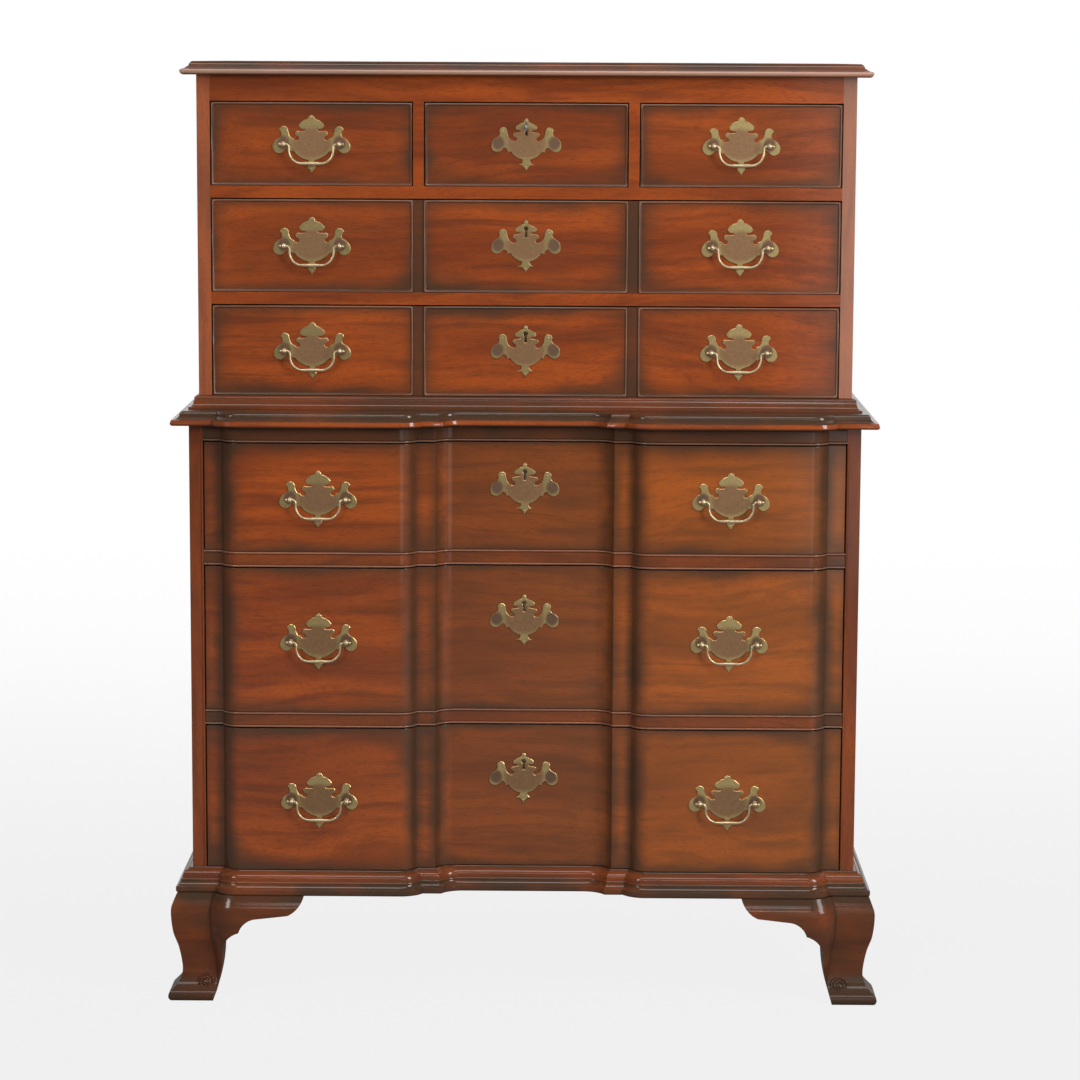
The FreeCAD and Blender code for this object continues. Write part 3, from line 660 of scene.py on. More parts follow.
def bead_section(rise):
    """A rail's section: a bead on each edge, with a fine quirk beside it."""
    bead = 2 * bead_radius
    return trace((0, 0), [
        (bead_radius, bead_radius, 0, bead), (-quirk, bead + quirk), (0, bead + 2 * quirk),
        (0, rise - bead - 2 * quirk), (-quirk, rise - bead - quirk), (0, rise - bead),
        (bead_radius, rise - bead_radius, 0, rise)], 8)


def blocked_rail(low, high):
    """A rail that follows the blocking, between two heights."""
    return moulding(bead_section(high - low), low,
                    lambda out: closed_plan(blocked_line(out, lower_inner), strip_back))


def side_loop(inner, outer, front, z, bead=0):
    """A right side board cut at one height, with its rabbet and its inner front edge."""
    plan = [(x, front + (y - front) * bead) for x, y in
            arc((inner + bead_radius, front), bead_radius, math.pi, math.tau, 8)]
    plan += arc((outer - arris, front + arris), arris, 1.5 * math.pi, math.tau, 3)
    plan += [(outer, back_y), (inner + back_rabbet, back_y), (inner + back_rabbet, back_face),
             (inner, back_face)]
    return [(x, y, z) for x, y in plan]


def dress(node, *finishes):
    """Gives a CAD node that is kept as it is its finishes."""
    materials = frame["nodes"][node].data.materials
    materials.clear()
    for finish in finishes:
        materials.append(finish)


lower_drawers = ["lower_bottom", "lower_middle", "lower_top"]
upper_drawers = ["upper_bottom", "upper_middle", "top_left", "top_center", "top_right"]
gap_below, gap_above = 0.3, 1.6
openings = {}
for name in lower_drawers + upper_drawers:
    low, high = span("drawer_front_" + name)
    openings[name] = (low.z - gap_below, high.z + gap_above)
side_stack = [(strip_back, foot_top, 0), (strip_back, lower_floor, 0), (front_y, lower_floor, 0),
              (front_y, lower_floor, 1), (front_y, lower_top_z, 1), (front_y, lower_top_z, 0),
              (front_y, waist_z, 0)]
lower_side = loft([side_loop(lower_inner, lower_half, y, z, bead) for y, z, bead in side_stack])
side_finish = mahogany("mahogany_lower_sides", "z", shade=0.3, shift=1.9)
case_piece("lower_side_boards", "lower_sides", joined(both(lower_side)), side_finish)

blocked_bands = [(-400, recess_edge), (recess_edge - 2, block_inner + 4),
                 (block_inner + 6, block_outer - 8), (block_outer, lower_inner + 6)]
rails = []
for below, above in zip(lower_drawers, lower_drawers[1:]):
    rails.append(blocked_rail(openings[below][1], openings[above][0]))
rails.append(blocked_rail(openings["lower_top"][1], waist_z))
bead_heights = [openings[name][1] + bead_radius for name in lower_drawers]
bead_heights += [openings[name][0] - bead_radius for name in lower_drawers[1:]]
# The frieze under the waist takes a heavier glaze, which is also painted shade under the waist's
# overhang; the lines along the beads are painted highlights.
rail_finish = mahogany(
    "mahogany_rails", "x", blocked_bands[:3], 0, 2000, shade=0.8, shift=0.4,
    rubbed=(0, lower_top_z, 2, 0.46), beads=[(height, 1.3, 0.24) for height in bead_heights])
case_piece("blocked_rails", "lower_rails", joined(rails), rail_finish)

lining_along = softwood("softwood_frames", "y")
lining_across = softwood("softwood_boards", "x")
for node in ("lower_runners", "upper_runners"):
    dress(node, lining_along)
for node in ("lower_bottom_board", "upper_bottom_board", "lower_back_panel", "upper_back_panel"):
    dress(node, lining_across)

# ---------------- lower drawers
# Three wide drawers with fronts sawn from thick mahogany to the convex, hollow, convex line of
# the case. Their lapped dovetails, locks and pulls are let into the straight back of the front.
drawer_side = 12
tail_lap = 12
tail_pitch = 42
tail_root, tail_tip = 0.5, 0.78
side_drop = 6
bottom_rise = 10
bottom_thickness = 6
groove = 5
cut_past = 1


def keyhole_cutter(face, rear, z):
    """A round hole with a slot below it, through a front or its plate."""
    outline = arc((0, z), keyhole_round, -math.pi / 3, math.pi * 4 / 3, 16)
    outline += [(-keyhole_slot / 2, z - keyhole_drop), (keyhole_slot / 2, z - keyhole_drop)]
    return loft([[(x, y, up) for x, up in outline] for y in (face - 2, rear + cut_past)])


def cut_away(piece, cutters):
    """The piece with the cutters' shapes taken out."""
    for cutter in cutters:
        tool = piece_of("cutter", cutter, piece.data.materials[0])
        cut = piece.modifiers.new("cut", "BOOLEAN")
        cut.object = tool
        cut.solver = "EXACT"
    baked(piece)
    for tool in [o for o in bpy.data.objects if o.name.startswith("cutter")]:
        bpy.data.objects.remove(tool)
    return smoothed(piece)


def turned(profile, x, y, z, spokes=28):
    """A piece turned on a lathe, its axis towards the front; profile is (radius, forward)."""
    return loft([[(a, y - forward, b)
                  for a, b in arc((x, z), max(radius, 0.02), 0, math.tau, spokes)[:-1]]
                 for radius, forward in profile])


post_span = 79.6
post_grip = 14
post_bore, nut_bore = 2.5, 8.5
pull_rise = 41


def post_cutters(name, face, rear):
    """Stepped bores for the posts of a drawer's pulls, wide behind for their nuts."""
    bore = [(post_bore, 1), (post_bore, -post_grip), (nut_bore, -post_grip),
            (nut_bore, face - rear - cut_past)]
    cutters = []
    for node in frame["nodes"]:
        if node.startswith("bail_" + name):
            middle = (span(node)[0].x + span(node)[1].x) / 2
            z = span("pulls_" + name)[1].z - pull_rise
            for x in (middle - post_span / 2, middle + post_span / 2):
                cutters.append(turned(bore, x, face, z, 24))
    return cutters


recess_thickness = 14
lower_rear = front_y + relief + recess_thickness
lock_rise = {"lower_top": 10, "lower_middle": 25, "lower_bottom": 25}
keyhole_rise, keyhole_drop, keyhole_slot, keyhole_round = 25, 12.6, 3.8, 3.3
lock_half = 25
lock_let_in = 7
lock_below = 18
# A golden tone that rises towards the right on the lower fronts: the wood's hue and painted light
# from the right.
golden_hue_and_light = (0.34, 0.17, 0.03, 1)
soft_edge = [(-0.8, 0), (-0.25, 0.25), (0, 0.8)]


def front_cutters(name, face, bore_face, rear):
    """What is cut from a front: sockets for the tails, groove, lock room, keyhole and bores."""
    low, high = span("drawer_front_" + name)
    x0, x1, past = low.x, high.x, rear + cut_past
    floor = low.z + bottom_rise
    cutters = [block(x0 + drawer_side - groove, x1 - drawer_side + groove, rear - groove, past,
                     floor, floor + bottom_thickness)]
    rise = high.z - side_drop - low.z
    count = max(2, round(rise / tail_pitch))
    half = rise / count / 2
    root = half * (tail_root - (tail_tip - tail_root) * cut_past / tail_lap)
    tip = half * tail_tip
    for index in range(count):
        middle = low.z + (2 * index + 1) * half
        section = [(past, middle - root), (rear - tail_lap, middle - tip),
                   (rear - tail_lap, middle + tip), (past, middle + root)]
        for ends in ((x0 - cut_past, x0 + drawer_side), (x1 - drawer_side, x1 + cut_past)):
            cutters.append(loft([[(x, y, z) for y, z in section] for x in ends]))
    if name in lock_heights:
        hole = lock_heights[name] + keyhole_rise
        cutters += [keyhole_cutter(face, rear, hole),
                    block(-lock_half, lock_half, rear - lock_let_in, past, hole - lock_below,
                          high.z + cut_past)]
    return cutters + post_cutters(name, bore_face, rear)


lock_heights = {}
for name, (low, high) in openings.items():
    if "lock_" + name in frame["nodes"]:
        lock_heights[name] = (low + high) / 2 + lock_rise.get(name, 0)
for index, name in enumerate(lower_drawers):
    low, high = span("drawer_front_" + name)
    levels = [(out, low.z + up) for out, up in soft_edge]
    levels += [(out, high.z - up) for out, up in reversed(soft_edge)]
    solid = moulding(levels, 0, lambda out: closed_plan(blocked_line(out, high.x), lower_rear))
    # Each lower front is painted darker in the middle of its hollow, painted shade in the recess
    # with the glaze, and turns golden towards the right: the wood's hue and painted light from the
    # right.
    finish = mahogany(
        "mahogany_" + name, "x", blocked_bands, low.z, high.z, shade=[0.12, 0, 0][index],
        shift=0.31 * index, hollow=0.37, tint_and_light_to_right=(0, 0.15, golden_hue_and_light))
    front = piece_of("front_" + name, solid, finish)
    cut_away(front, front_cutters(name, front_y, front_y - relief, lower_rear))
    fit(front, "drawer_" + name, "drawer_front_" + name)

for name in openings:
    dress("drawer_box_" + name, lining_along, lining_across)
    low, high = span("drawer_box_" + name)
    inside = (high.x - low.x) / 2 - drawer_side - 0.5
    for polygon in frame["nodes"]["drawer_box_" + name].data.polygons:
        x = polygon.center.x / mm
        polygon.material_index = int(abs(x - (low.x + high.x) / 2) < inside)

# ---------------- waist
# The moulded top board of the lower case. Its front and side edges follow the blocking, and the
# upper case stands on it, set back, inside a smaller moulding that hides the joint.
waist_top_z = span("waist_top")[1].z
moulded_board(
    "waist_board", "waist_top", waist_z,
    [(19.4, 0), (23.3, 1.1, 24.6, 3.3), (23, 8.3), (17.6, 9.3, 13.9, 11.6), (12.1, 13.6),
     (11.4, 17.4, 8.2, waist_top_z - waist_z)],
    lambda out: closed_plan(blocked_line(out), back_y),
    "mahogany_waist", shade=0.95, shift=1.3, rubbed=(waist_z + 1.5, waist_z + 8.5, 1.2, 0.12))

upper_half = span("upper_sides")[1].x
upper_y = span("upper_sides")[0].y
upper_floor = span("upper_base_moulding")[1].z
upper_strip_back = span("upper_bottom_board")[0].y


def straight_line(out):
    """The upper case's front in plan, moved out, with softened corners."""
    centre = (upper_half + out - arris, upper_y - out + arris)
    right = arc(centre, arris, 1.5 * math.pi, math.tau, 3)
    return [(-x, y) for x, y in reversed(right)] + right


moulded_board(
    "upper_base_run", "upper_base_moulding", waist_top_z,
    [(14.2, 0), (14.2, 2.7), (9.6, 4.4, 7.6, 8.2), (6, 13.8), (6, 16.4, 3.7, 17.8),
     (2, upper_floor - waist_top_z)],
    lambda out: strip_plan(straight_line(out), upper_half, upper_strip_back),
    "mahogany_collar", edge=0.3, shade=0.62, mitre=(upper_half, upper_y), shift=2.1)

# ---------------- upper case
# A flat-fronted mahogany case: two sides, a deep frieze rail, two drawer rails and the two
# upright dividers of the top row, all flush, under a board with a moulded edge.
upper_inner = upper_half - 19
cornice_z = span("upper_sides")[1].z
cornice_top = span("upper_top")[1].z
divider_in, divider_out = 146, 161.5
upper_stack = [(upper_strip_back, waist_top_z), (upper_strip_back, upper_floor),
               (upper_y, upper_floor), (upper_y, cornice_z)]
upper_side = loft([side_loop(upper_inner, upper_half, y, z) for y, z in upper_stack])
# The upper sides are painted paler towards the right: a painted sheen of the light from the right.
side_finish = mahogany(
    "mahogany_upper_sides", "z", shade=0.12, shift=2.6, tint_and_light_to_right=(0.1, 0.3, painted_sheen))
case_piece("upper_side_boards", "upper_sides", joined(both(upper_side)), side_finish)

rails = []
for low, high in ((openings["upper_bottom"][1], openings["upper_middle"][0]),
                  (openings["upper_middle"][1], openings["top_center"][0]),
                  (openings["top_center"][1], cornice_z)):
    rails.append(block(-upper_inner, upper_inner, upper_y, upper_strip_back, low, high))
rails += both(block(
    divider_in, divider_out, upper_y, upper_strip_back, *openings["top_center"]))
rail_finish = mahogany("mahogany_upper_rails", "x", shift=3.9)
case_piece("upper_rail_set", "upper_rails", joined(rails), rail_finish, 0.4)

moulded_board(
    "cornice_board", "upper_top", cornice_z,
    [(16.5, 0), (20.4, 2.2, 21.6, 5.8), (20.4, 8), (15.2, 9.4, 11.9, 11.6), (9.6, 13),
     (8.3, 16.4, 4.7, cornice_top - cornice_z)],
    lambda out: closed_plan(straight_line(out), back_y),
    "mahogany_cornice", shade=0.8, shift=2.9, rubbed=(cornice_z + 1.5, cornice_z + 9, 1.5, 0.4),
    # The paler line along the nose is a painted reflection of the light above.
    beads=[(cornice_z + 5, 4.5, 0.55)], satin_from=cornice_top - 1.5)

# ---------------- upper drawers
# Flat mahogany fronts with a half-round cockbead round each panel. The two wide ones are made to
# look like three drawers, with a narrow sunk strip between the panels.
strip_sink, slab_let_in = 1.2, 0.4
upper_rear = upper_y + 20


def panel_slab(x0, x1, z0, z1):
    """One panel with its mitred cockbead and the fine quirk inside the bead."""
    bead = 2 * bead_radius
    rings = [(0, strip_sink + slab_let_in), (0, 0)]
    rings += arc((bead_radius, 0), bead_radius, -math.pi, 0, 8)[1:]
    rings += [(bead + quirk, quirk), (bead + 2 * quirk, 0)]
    corners = ((x0, z0, 1, 1), (x1, z0, -1, 1), (x1, z1, -1, -1), (x0, z1, 1, -1))
    return loft([[(x + inset * right, upper_y + sink, z + inset * up)
                  for x, z, right, up in corners] for inset, sink in rings])


for index, name in enumerate(upper_drawers):
    low, high = span("drawer_front_" + name)
    x0, x1, z0, z1 = low.x, high.x, low.z, high.z
    panels = [(x0, x1)]
    wide = name.startswith("upper")
    if wide:
        panels = [(x0, -divider_out), (-divider_in, divider_in), (divider_out, x1)]
    # The bead round each panel is painted paler on its crest: a painted highlight, partly wear.
    finish = mahogany(
        "mahogany_" + name, "x", [(-400, divider_in), (divider_out, upper_inner - 2)], z0, z1,
        shade=0.04 if wide else 0.14, shift=1 + 0.37 * index, bead_sheen=True)
    board = piece_of("board", block(x0, x1, upper_y + strip_sink, upper_rear, z0, z1), finish)
    slabs = piece_of("slabs", joined([panel_slab(*ends, z0, z1) for ends in panels]), finish)
    holes = post_cutters(name, upper_y, upper_rear)
    if name in lock_heights:
        holes.append(keyhole_cutter(upper_y, upper_rear, lock_heights[name] + keyhole_rise))
    cut_away(board, front_cutters(name, upper_y, upper_y, upper_rear))
    cut_away(slabs, holes)
    front = bmesh.new()
    for part in (board, slabs):
        front.from_mesh(part.data)
        bpy.data.objects.remove(part)
    front = piece_of("front_" + name, front, finish)
    fit(front, "drawer_" + name, "drawer_front_" + name)

# ---------------- brass pulls
# Each pull has a sawn plate with a filed bevel, two ball-headed posts that go through the front
# to square nuts inside the drawer, and a cast bail that swings in the balls.
plate_thickness = 1.6
plate_bevel, bevel_fall = 0.55, 0.7
pull_outline = trace((0, pull_rise), [
    (3.9, 38.8, 5, 35.6), (13.4, 32, 18.2, 26.6), (16.4, 23, 10.2, 21),
    (8.6, 19.9, 10.2, 18.4), (15, 18, 19.8, 18.8), (23.4, 15.2, 20.6, 10.9),
    (18, 7.6, 21.2, 5.1), (23.8, 5.8, 25.2, 7.7), (29.6, 9.5), (32.3, 14.9, 33.1, 20.8),
    (39.6, 25.4, 46, 20.8), (42.8, 15.6, 43.8, 10), (51.6, 5.2, 55.6, -3.2),
    (53.2, -10, 45.8, -13.2), (41.2, -11.4, 38.2, -7.6), (33.4, -6.9, 28.7, -10.4),
    (25.2, -10.4), (15.4, -19, 4.4, -22.8), (3.4, -27.6, 6, -32.6), (0, -40.6)], 5)


def sawn_plate(outline, hole, x, y, z):
    """A plate with its bevel towards the front; hole runs up its centre line."""
    plate = bmesh.new()
    local = plate.verts.layers.float_vector.new("local")
    rim = plate.verts.layers.float.new("rim")
    for side in (1, -1):
        ring = [plate.verts.new((side * a * mm, 0, b * mm)) for a, b in outline + hole]
        plate.faces.new(ring)
    bmesh.ops.remove_doubles(plate, verts=plate.verts, dist=1e-6)
    bmesh.ops.recalc_face_normals(plate, faces=plate.faces)
    bmesh.ops.solidify(plate, geom=plate.faces[:], thickness=plate_thickness * mm)
    bmesh.ops.recalc_face_normals(plate, faces=plate.faces)
    shift = min(vert.co.y for vert in plate.verts)
    face = [f for f in plate.faces if f.normal.y < -0.9]
    bmesh.ops.inset_region(plate, faces=face, thickness=plate_bevel * mm, use_even_offset=True)
    border = {vert for vert in plate.verts if abs(vert.co.y - shift) < 1e-6}
    border -= {vert for f in face for vert in f.verts}
    for vert in plate.verts:
        vert.co.y -= shift
        if vert in border:
            vert.co.y += bevel_fall * plate_bevel * mm
            vert[rim] = 1
        vert[local] = (vert.co.x / mm, 0, vert.co.z / mm)
        vert.co += Vector((x, y - plate_thickness, z)) * mm
    return plate


def old_brass(name, brown=False):
    """Antiqued brass: brown lacquer left in the middle, darker round the posts, rubbed edges."""
    finish = Finish(name)
    place = finish.place()
    cloud = finish.noise(place, (260, 260, 260), 3, 0.6)
    polish = finish.noise(place, (90, 900, 900), 2, 0.5)
    patch = cloud.fade(0.3, 0.7)
    worn = finish.mixed(patch, (0.31, 0.172, 0.088, 1), (0.25, 0.145, 0.07, 1))
    if brown:
        bright = finish.mixed(patch, (0.58, 0.42, 0.18, 1), (0.46, 0.35, 0.15, 1))
        local = finish.node("ShaderNodeAttribute", output="Vector", attribute_name="local")
        rim = finish.node("ShaderNodeAttribute", output="Fac", attribute_name="rim")
        across = abs(local.part("X"))
        up = local.part("Z") - 2
        wide = (across / 30) * (across / 30) + (up / 23) * (up / 23)
        middle = (wide + (cloud - 0.5) * 0.8).fade(0.5, 1.35, 1, 0)
        aside = (across - 40) / 10
        above = up / 11
        darkening = (aside * aside + above * above).fade(0.25, 1.2, 0.9, 0)
        dark = (middle.most(darkening) * (1 - rim * 0.8)).fade(0, 1)
        colour = finish.mixed(dark, bright, worn)
        colour = finish.mixed(darkening * (0.8 - rim * 0.5), colour, (0.135, 0.078, 0.058, 1))
        rough = dark.fade(0, 1, 0.3, 0.46)
    else:
        bright = finish.mixed(patch, (0.6, 0.48, 0.29, 1), (0.5, 0.39, 0.23, 1))
        colour = finish.mixed(cloud.fade(0.55, 0.8, 0, 0.35), bright, worn)
        rough = polish.fade(0.3, 0.7, 0.3, 0.38)
    strength = 0.08 if brown else 0.015
    return finish.surface(colour, rough, polish, strength, 0.0003, Metallic=0.85)


def grown(name, points, edges, build, finish, **sizes):
    """A piece that a Geometry Nodes tree grows on loose points or a path, as a plain mesh."""
    tree = bpy.data.node_groups.new(name, "GeometryNodeTree")
    for way in ("INPUT", "OUTPUT"):
        tree.interface.new_socket("Geometry", in_out=way, socket_type="NodeSocketGeometry")
    names = {}
    for label in sizes:
        socket = tree.interface.new_socket(label, in_out="INPUT", socket_type="NodeSocketFloat")
        names[label] = socket.identifier
    shape = build(tree, add_node(tree, "NodeGroupInput").outputs)
    whole = add_node(tree, "GeometryNodeRealizeInstances", {0: shape})
    dressed = add_node(tree, "GeometryNodeSetMaterial", {"Geometry": whole, "Material": finish})
    add_node(tree, "NodeGroupOutput", {0: dressed})
    mesh = bpy.data.meshes.new(name)
    mesh.from_pydata([Vector(point[:3]) * mm for point in points], edges, [])
    if edges:
        gauge = mesh.attributes.new("gauge", "FLOAT", "POINT")
        for value, point in zip(gauge.data, points):
            value.value = point[3] * mm
    piece = placed(name, mesh)
    modifier = piece.modifiers.new("growth", "NODES")
    modifier.node_group = tree
    for label, value in sizes.items():
        modifier[names[label]] = value
    return smoothed(baked(piece))


def domes(tree, entry):
    """Small round heads, half sunk, on every point."""
    ball = add_node(tree, "GeometryNodeMeshUVSphere", {
        "Segments": 16, "Rings": 8, "Radius": entry["Radius"]})
    flat = add_node(tree, "GeometryNodeTransform", {"Geometry": ball, "Scale": (1, 0.55, 1)})
    return add_node(tree, "GeometryNodeInstanceOnPoints", {
        "Points": entry["Geometry"], "Instance": flat})


def bail_wire(tree, entry):
    """A swelling wire along its path, with a knob on each end."""
    path = add_node(tree, "GeometryNodeMeshToCurve", {"Mesh": entry["Geometry"]})
    gauge = add_node(tree, "GeometryNodeInputNamedAttribute", {"Name": "gauge"}, data_type="FLOAT")
    ring = add_node(tree, "GeometryNodeCurvePrimitiveCircle", {"Resolution": 16, "Radius": 1})
    wire = add_node(tree, "GeometryNodeCurveToMesh", {
        "Curve": path, "Profile Curve": ring, "Scale": gauge, "Fill Caps": True})
    knob = add_node(tree, "GeometryNodeMeshUVSphere", {
        "Segments": 20, "Rings": 12, "Radius": entry["Knob"]})
    ends = add_node(tree, "GeometryNodeCurveEndpointSelection")
    knobs = add_node(tree, "GeometryNodeInstanceOnPoints", {
        "Points": path, "Selection": ends, "Instance": knob})
    bail = add_node(tree, "GeometryNodeJoinGeometry", {0: wire})
    tree.links.new(knobs.outputs[0], bail.inputs[0])
    return bail


post_stand, post_ball, post_neck = 10, 4.2, 2.3
nut_size, nut_height, thread_out = 11, 4, 1.5
bail_arm, bail_drop, bail_bend, bail_corner = 31.4, 27.4, 5, 18
bail_gauge, bail_swell, bail_knob, swell_past = 1.8, 2.7, 2.2, 3
corner_share = 0.293
pull_pins = [(0, 38), (0, -34.5)]
pin_radius = 1.1

post_profile = [(post_neck, -post_grip - nut_height - thread_out), (post_neck, 1.6), (3.6, 1.7),
                (3.75, 2.3), (3.2, 3.1), (2, 3.9), (1.9, 5.2)]
post_profile += arc((0, post_stand), post_ball, -math.pi / 3, math.pi / 2, 15)

corner, bend = corner_share * bail_corner, corner_share * bail_bend
grip = bail_arm - bail_corner
right = trace((0, -bail_drop), [
    (grip, -bail_drop), (bail_arm - corner, corner - bail_drop, bail_arm, bail_corner - bail_drop),
    (bail_arm, -bail_bend), (bail_arm + bend, -bend, bail_arm + bail_bend, 0),
    (post_span / 2 + post_ball + bail_knob / 2, 0)], 10)
half = [(grip * step / 8, -bail_drop) for step in range(8)] + right[1:]
bail_path = []
for a, b in [(-a, b) for a, b in reversed(half[1:])] + half:
    middle = max(1 - (a / (grip + swell_past)) ** 2, 0) if b <= 1 - bail_drop else 0
    bail_path.append((a, b, bail_gauge + (bail_swell - bail_gauge) * middle))
bail_edges = [(i, i + 1) for i in range(len(bail_path) - 1)]

plate_finish = old_brass("brass_plates", brown=True)
bright_brass = old_brass("brass_posts")
pins = {}
for name in openings:
    node = "pulls_" + name
    if node not in frame["nodes"]:
        continue
    low, high = span(node)
    y = low.y + post_stand + post_ball
    z = high.z - pull_rise
    plates = []
    posts = []
    for bail_name in [key for key in frame["nodes"] if key.startswith("bail_" + name)]:
        bail_low, bail_high = span(bail_name)
        x = (bail_low.x + bail_high.x) / 2
        plates.append(sawn_plate(pull_outline, [], x, y, z))
        for post_x in (x - post_span / 2, x + post_span / 2):
            posts.append(turned(post_profile, post_x, y, z))
            posts.append(block(
                post_x - nut_size / 2, post_x + nut_size / 2, y + post_grip,
                y + post_grip + nut_height, z - nut_size / 2, z + nut_size / 2))
        pins.setdefault(name, []).extend(
            (x + a, y - plate_thickness, z + b) for a, b in pull_pins)
        wire_path = [(x + a, y - post_stand, z + b, gauge) for a, b, gauge in bail_path]
        wire = grown("wire_" + bail_name, wire_path, bail_edges, bail_wire, bright_brass,
                     Knob=bail_knob * mm)
        fit(wire, bail_name, bail_name)
    plates = piece_of("plates_" + name, joined(plates), plate_finish, crease=15)
    fit(plates, "drawer_" + name, node)
    stems = piece_of("posts_" + name, joined(posts), bright_brass, edge=0.25)
    fit(stems, "drawer_" + name, node)

# ---------------- locks and the key
# Six keyhole plates, each in front of a brass lock let into the back of its drawer front, and
# one iron key that stands in the top centre drawer's lock.
lock_outline = trace((0, 37), [
    (2.9, 34.7, 2.9, 31.8), (8.9, 29.2, 14.6, 25.6), (15.2, 22.6, 12.4, 20.5),
    (9.1, 19.9, 6.7, 18.1), (12.2, 17.1, 17.3, 16.1), (18.9, 13.4, 16.9, 10.8),
    (13.8, 7.5, 17.9, 4.5), (23.2, 7.7, 26.3, 13.8), (27, 17.7), (34, 24.3, 38.8, 19.7),
    (37.8, 15, 41.3, 10.2), (47.8, 5.5, 49.7, -1.2), (47.6, -8.3, 40.9, -10.7),
    (35.4, -8.3, 32.1, -4.4), (28.7, -5.7, 26.4, -11), (22, -9.8), (16.1, -16.7, 5.5, -21.5),
    (6.1, -25.6, 11.6, -28.5), (5.7, -29.7), (2.4, -33.3, 0, -37)], 5)
slot_foot = keyhole_rise - keyhole_drop
keyhole_half = [(0, slot_foot), (keyhole_slot / 2, slot_foot)]
keyhole_half += arc((0, keyhole_rise), keyhole_round, -math.pi / 3, math.pi / 2, 9)
lock_depth, lock_wall, lock_barrel = 10, 2, 13.5
lock_pins = [(0, 34), (0, -31.8), (-33.2, 19.8), (33.2, 19.8)]
for name, z in lock_heights.items():
    low, high = span("lock_" + name)
    y = low.y + plate_thickness
    hole_z = z + keyhole_rise
    shield = sawn_plate(lock_outline, keyhole_half, 0, y, z)
    shield = piece_of("shield_" + name, shield, plate_finish, crease=15)
    fit(shield, "drawer_" + name, "lock_" + name)
    pins.setdefault(name, []).extend((a, y - plate_thickness, z + b) for a, b in lock_pins)
    seat = high.y - lock_depth
    case = block(-lock_half, lock_half, seat, high.y, hole_z - lock_below, high.z)
    case = piece_of("lock_case_" + name, case, bright_brass, edge=0.5)
    barrel = turned([(lock_barrel, -lock_wall), (lock_barrel, lock_wall - lock_depth)],
                    0, seat, hole_z)
    cut_away(case, [barrel, keyhole_cutter(seat, seat + lock_wall, hole_z)])
    fit(case, "drawer_" + name, "lock_" + name)

for name, places in pins.items():
    heads = grown("pins_" + name, places, [], domes, bright_brass, Radius=pin_radius * mm)
    fit(heads, "drawer_" + name)


def iron(name):
    """Worn iron, brown in patches."""
    finish = Finish(name)
    cloud = finish.noise(finish.place(), (300, 300, 300), 4, 0.6)
    speck = finish.noise(finish.place(), (1400, 1400, 1400), 2, 0.5)
    colour = finish.mixed(cloud.fade(0.4, 0.7), (0.3, 0.29, 0.285, 1), (0.13, 0.1, 0.085, 1))
    rough = cloud.fade(0.3, 0.7, 0.32, 0.55)
    return finish.surface(colour, rough, speck, 0.2, 0.0003, Metallic=0.9)


key_low, key_high = span("key")
key_x = (key_low.x + key_high.x) / 2
bow_radius, bow_thick, bow_wide = 5.7, 1.3, 1.5
key_z = key_high.z - bow_radius - bow_thick
key_bow_y = key_low.y + bow_radius + bow_thick


def hoop(x, y, z, radius, thick, wide):
    """A rounded ring that stands in the plane of the key's shank."""
    section = arc((0, 0), 1, 0, math.tau, 14)[:-1]
    around = arc((0, 0), 1, 0, math.tau, 48)[:-1]
    return loft([[(x + wide * side, y + (radius + thick * out) * ahead,
                   z + (radius + thick * out) * up) for out, side in section]
                 for ahead, up in around], closed=True)


shank_top = key_bow_y + 5
shank_end = shank_top - key_high.y
shank_profile = [(2.3, shank_end), (2.4, shank_end + 0.3), (2.4, -6.2), (3.1, -5.8), (3.1, -4.9),
                 (2.4, -4.5), (2.4, -3.4), (3.3, -2.8), (3.3, -1.8), (2.3, -1.2), (1.9, 0)]
bit_half, bit_length = 1.2, 4
bit = (key_x - bit_half, key_x + bit_half, key_high.y - bit_length)
key_parts = [
    hoop(key_x, key_bow_y, key_z, bow_radius, bow_thick, bow_wide),
    turned(shank_profile, key_x, shank_top, key_z, 20),
    block(*bit, key_high.y, key_z - 10.5, key_z - 6),
    block(*bit, key_high.y - 0.9, key_z - 6.4, key_z - 1.5)]
iron_key = piece_of("iron_key", joined(key_parts), iron("iron_worn"), edge=0.25)
fit(iron_key, "key", "key")

# ---------------- nails in the backs
# Round iron nail heads hold the two back boards in their rabbets, nine down each side and seven
# along the top and the bottom of a board.
nails = []
nail_radius, nail_sunk = 2, 1.1
from_side, from_corner, from_end = 5, 14, 9
for node in ("lower_back_panel", "upper_back_panel"):
    low, high = span(node)
    y = high.y - nail_sunk
    for z in [low.z + from_corner] + spread(low.z + from_corner, high.z - from_corner, 8):
        nails += [(low.x + from_side, y, z), (high.x - from_side, y, z)]
    for x in spread(low.x + from_side, high.x - from_side, 8)[:-1]:
        nails += [(x, y, low.z + from_end), (x, y, high.z - from_end)]
heads = grown("back_nails", nails, [], domes, iron("iron_nails"), Radius=nail_radius * mm)
fit(heads, "case")

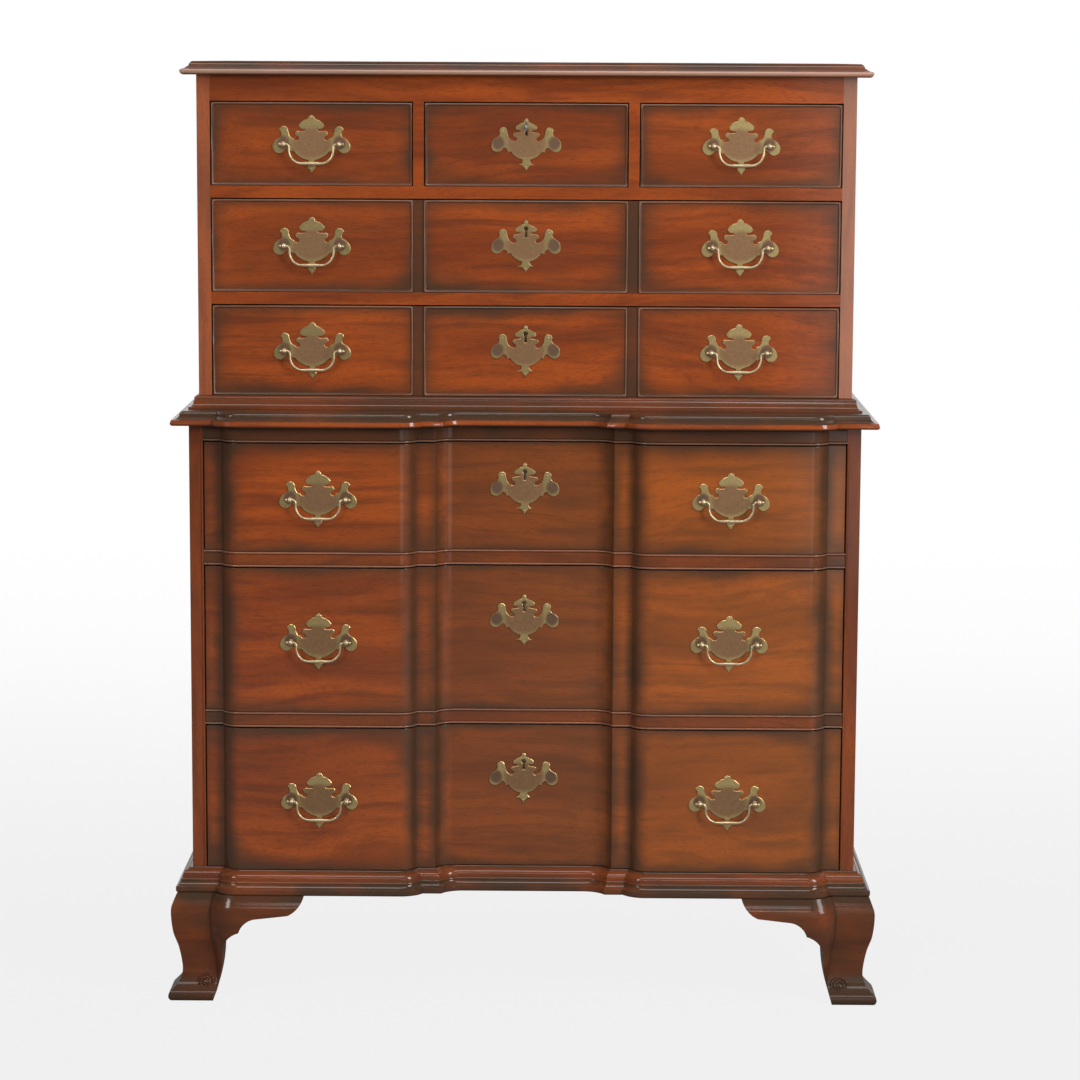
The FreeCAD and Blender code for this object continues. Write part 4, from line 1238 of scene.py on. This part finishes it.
# ---------------- stage, light and camera
# A plain pale floor and surround, a tall soft lamp on the right, smaller ones on the left, in
# front and low down, and a broad one above.
floor_mesh = bmesh.new()
bmesh.ops.create_grid(floor_mesh, x_segments=1, y_segments=1, size=30)
pale = Finish("pale_floor")
distance = pale.place().part("Y")
plain = pale.node("ShaderNodeBsdfDiffuse", {"Color": (0.28, 0.28, 0.28, 1)})
near_white, far_white = (0.92, 0.92, 0.92, 1), (1, 1, 1, 1)
tone = pale.mixed(distance.fade(-0.6, 5), near_white, far_white)
white = pale.node("ShaderNodeEmission", {"Color": tone, "Strength": 1})
seen = pale.node("ShaderNodeLightPath", output="Is Camera Ray")
share = distance.fade(0, 3, 0.92, 1) * seen
shown = pale.node("ShaderNodeMixShader", {0: share, 1: plain, 2: white})
pale.node("ShaderNodeOutputMaterial", {"Surface": shown})
floor = piece_of("floor", floor_mesh, pale.owner)

studio = Finish("studio", "worlds")
bpy.context.scene.world = studio.owner
way = studio.node("ShaderNodeTexCoord", output="Generated")
ahead = way.part("Y")
sheen = ahead.fade(-0.2, 0.7, 0.03, 0.95)
glossy = studio.node("ShaderNodeLightPath", output="Is Glossy Ray")
seen = studio.node("ShaderNodeLightPath", output="Is Camera Ray")
even = 0.34
level = (glossy * sheen + (1 - glossy) * even).most(seen)
glow_all_round = studio.node("ShaderNodeBackground", {"Color": (1, 1, 1, 1), "Strength": level})
studio.node("ShaderNodeOutputWorld", {"Surface": glow_all_round})

for name, place, aim_z, size, height, watts in (
        ("lamp_right", (2.6, -2.4, 1.9), 0.8, 0.9, 2.4, 98),
        ("lamp_left", (-2.3, -3.1, 2), 0.8, 0.8, 0.9, 40),
        ("lamp_above", (0, -2, 3.6), 1, 2.4, 1, 46),
        ("lamp_front", (0, -5.2, 2.6), 0.8, 1.8, 0.3, 18),
        ("lamp_low", (1.3, -3.6, 0.95), 0.8, 1.4, 1.8, 8)):
    light = bpy.data.lights.new(name, "AREA")
    light.shape = "RECTANGLE"
    light.size, light.size_y, light.energy = size, height, watts
    holder = placed(name, light)
    holder.location = place
    aim = Vector((0, -0.2, aim_z)) - Vector(place)
    holder.rotation_euler = aim.to_track_quat("-Z", "Y").to_euler()

camera = bpy.data.cameras.new("camera")
focal_pixels, picture_pixels = 3365.2, 1080
camera.sensor_width = 36
camera.lens = camera.sensor_width * focal_pixels / picture_pixels
eye = placed("camera", camera)
eye.location = (0.0565, front_y * mm - 4.7914, 1.3637)
pitch, turn, roll = 0.1423, -0.0071, 0.0049
eye.rotation_euler = (Euler((math.pi / 2 - pitch, 0, -turn)).to_quaternion()
                      @ Euler((0, 0, roll)).to_quaternion()).to_euler()
bpy.context.scene.camera = eye
bpy.context.scene.view_settings.view_transform = "Standard"
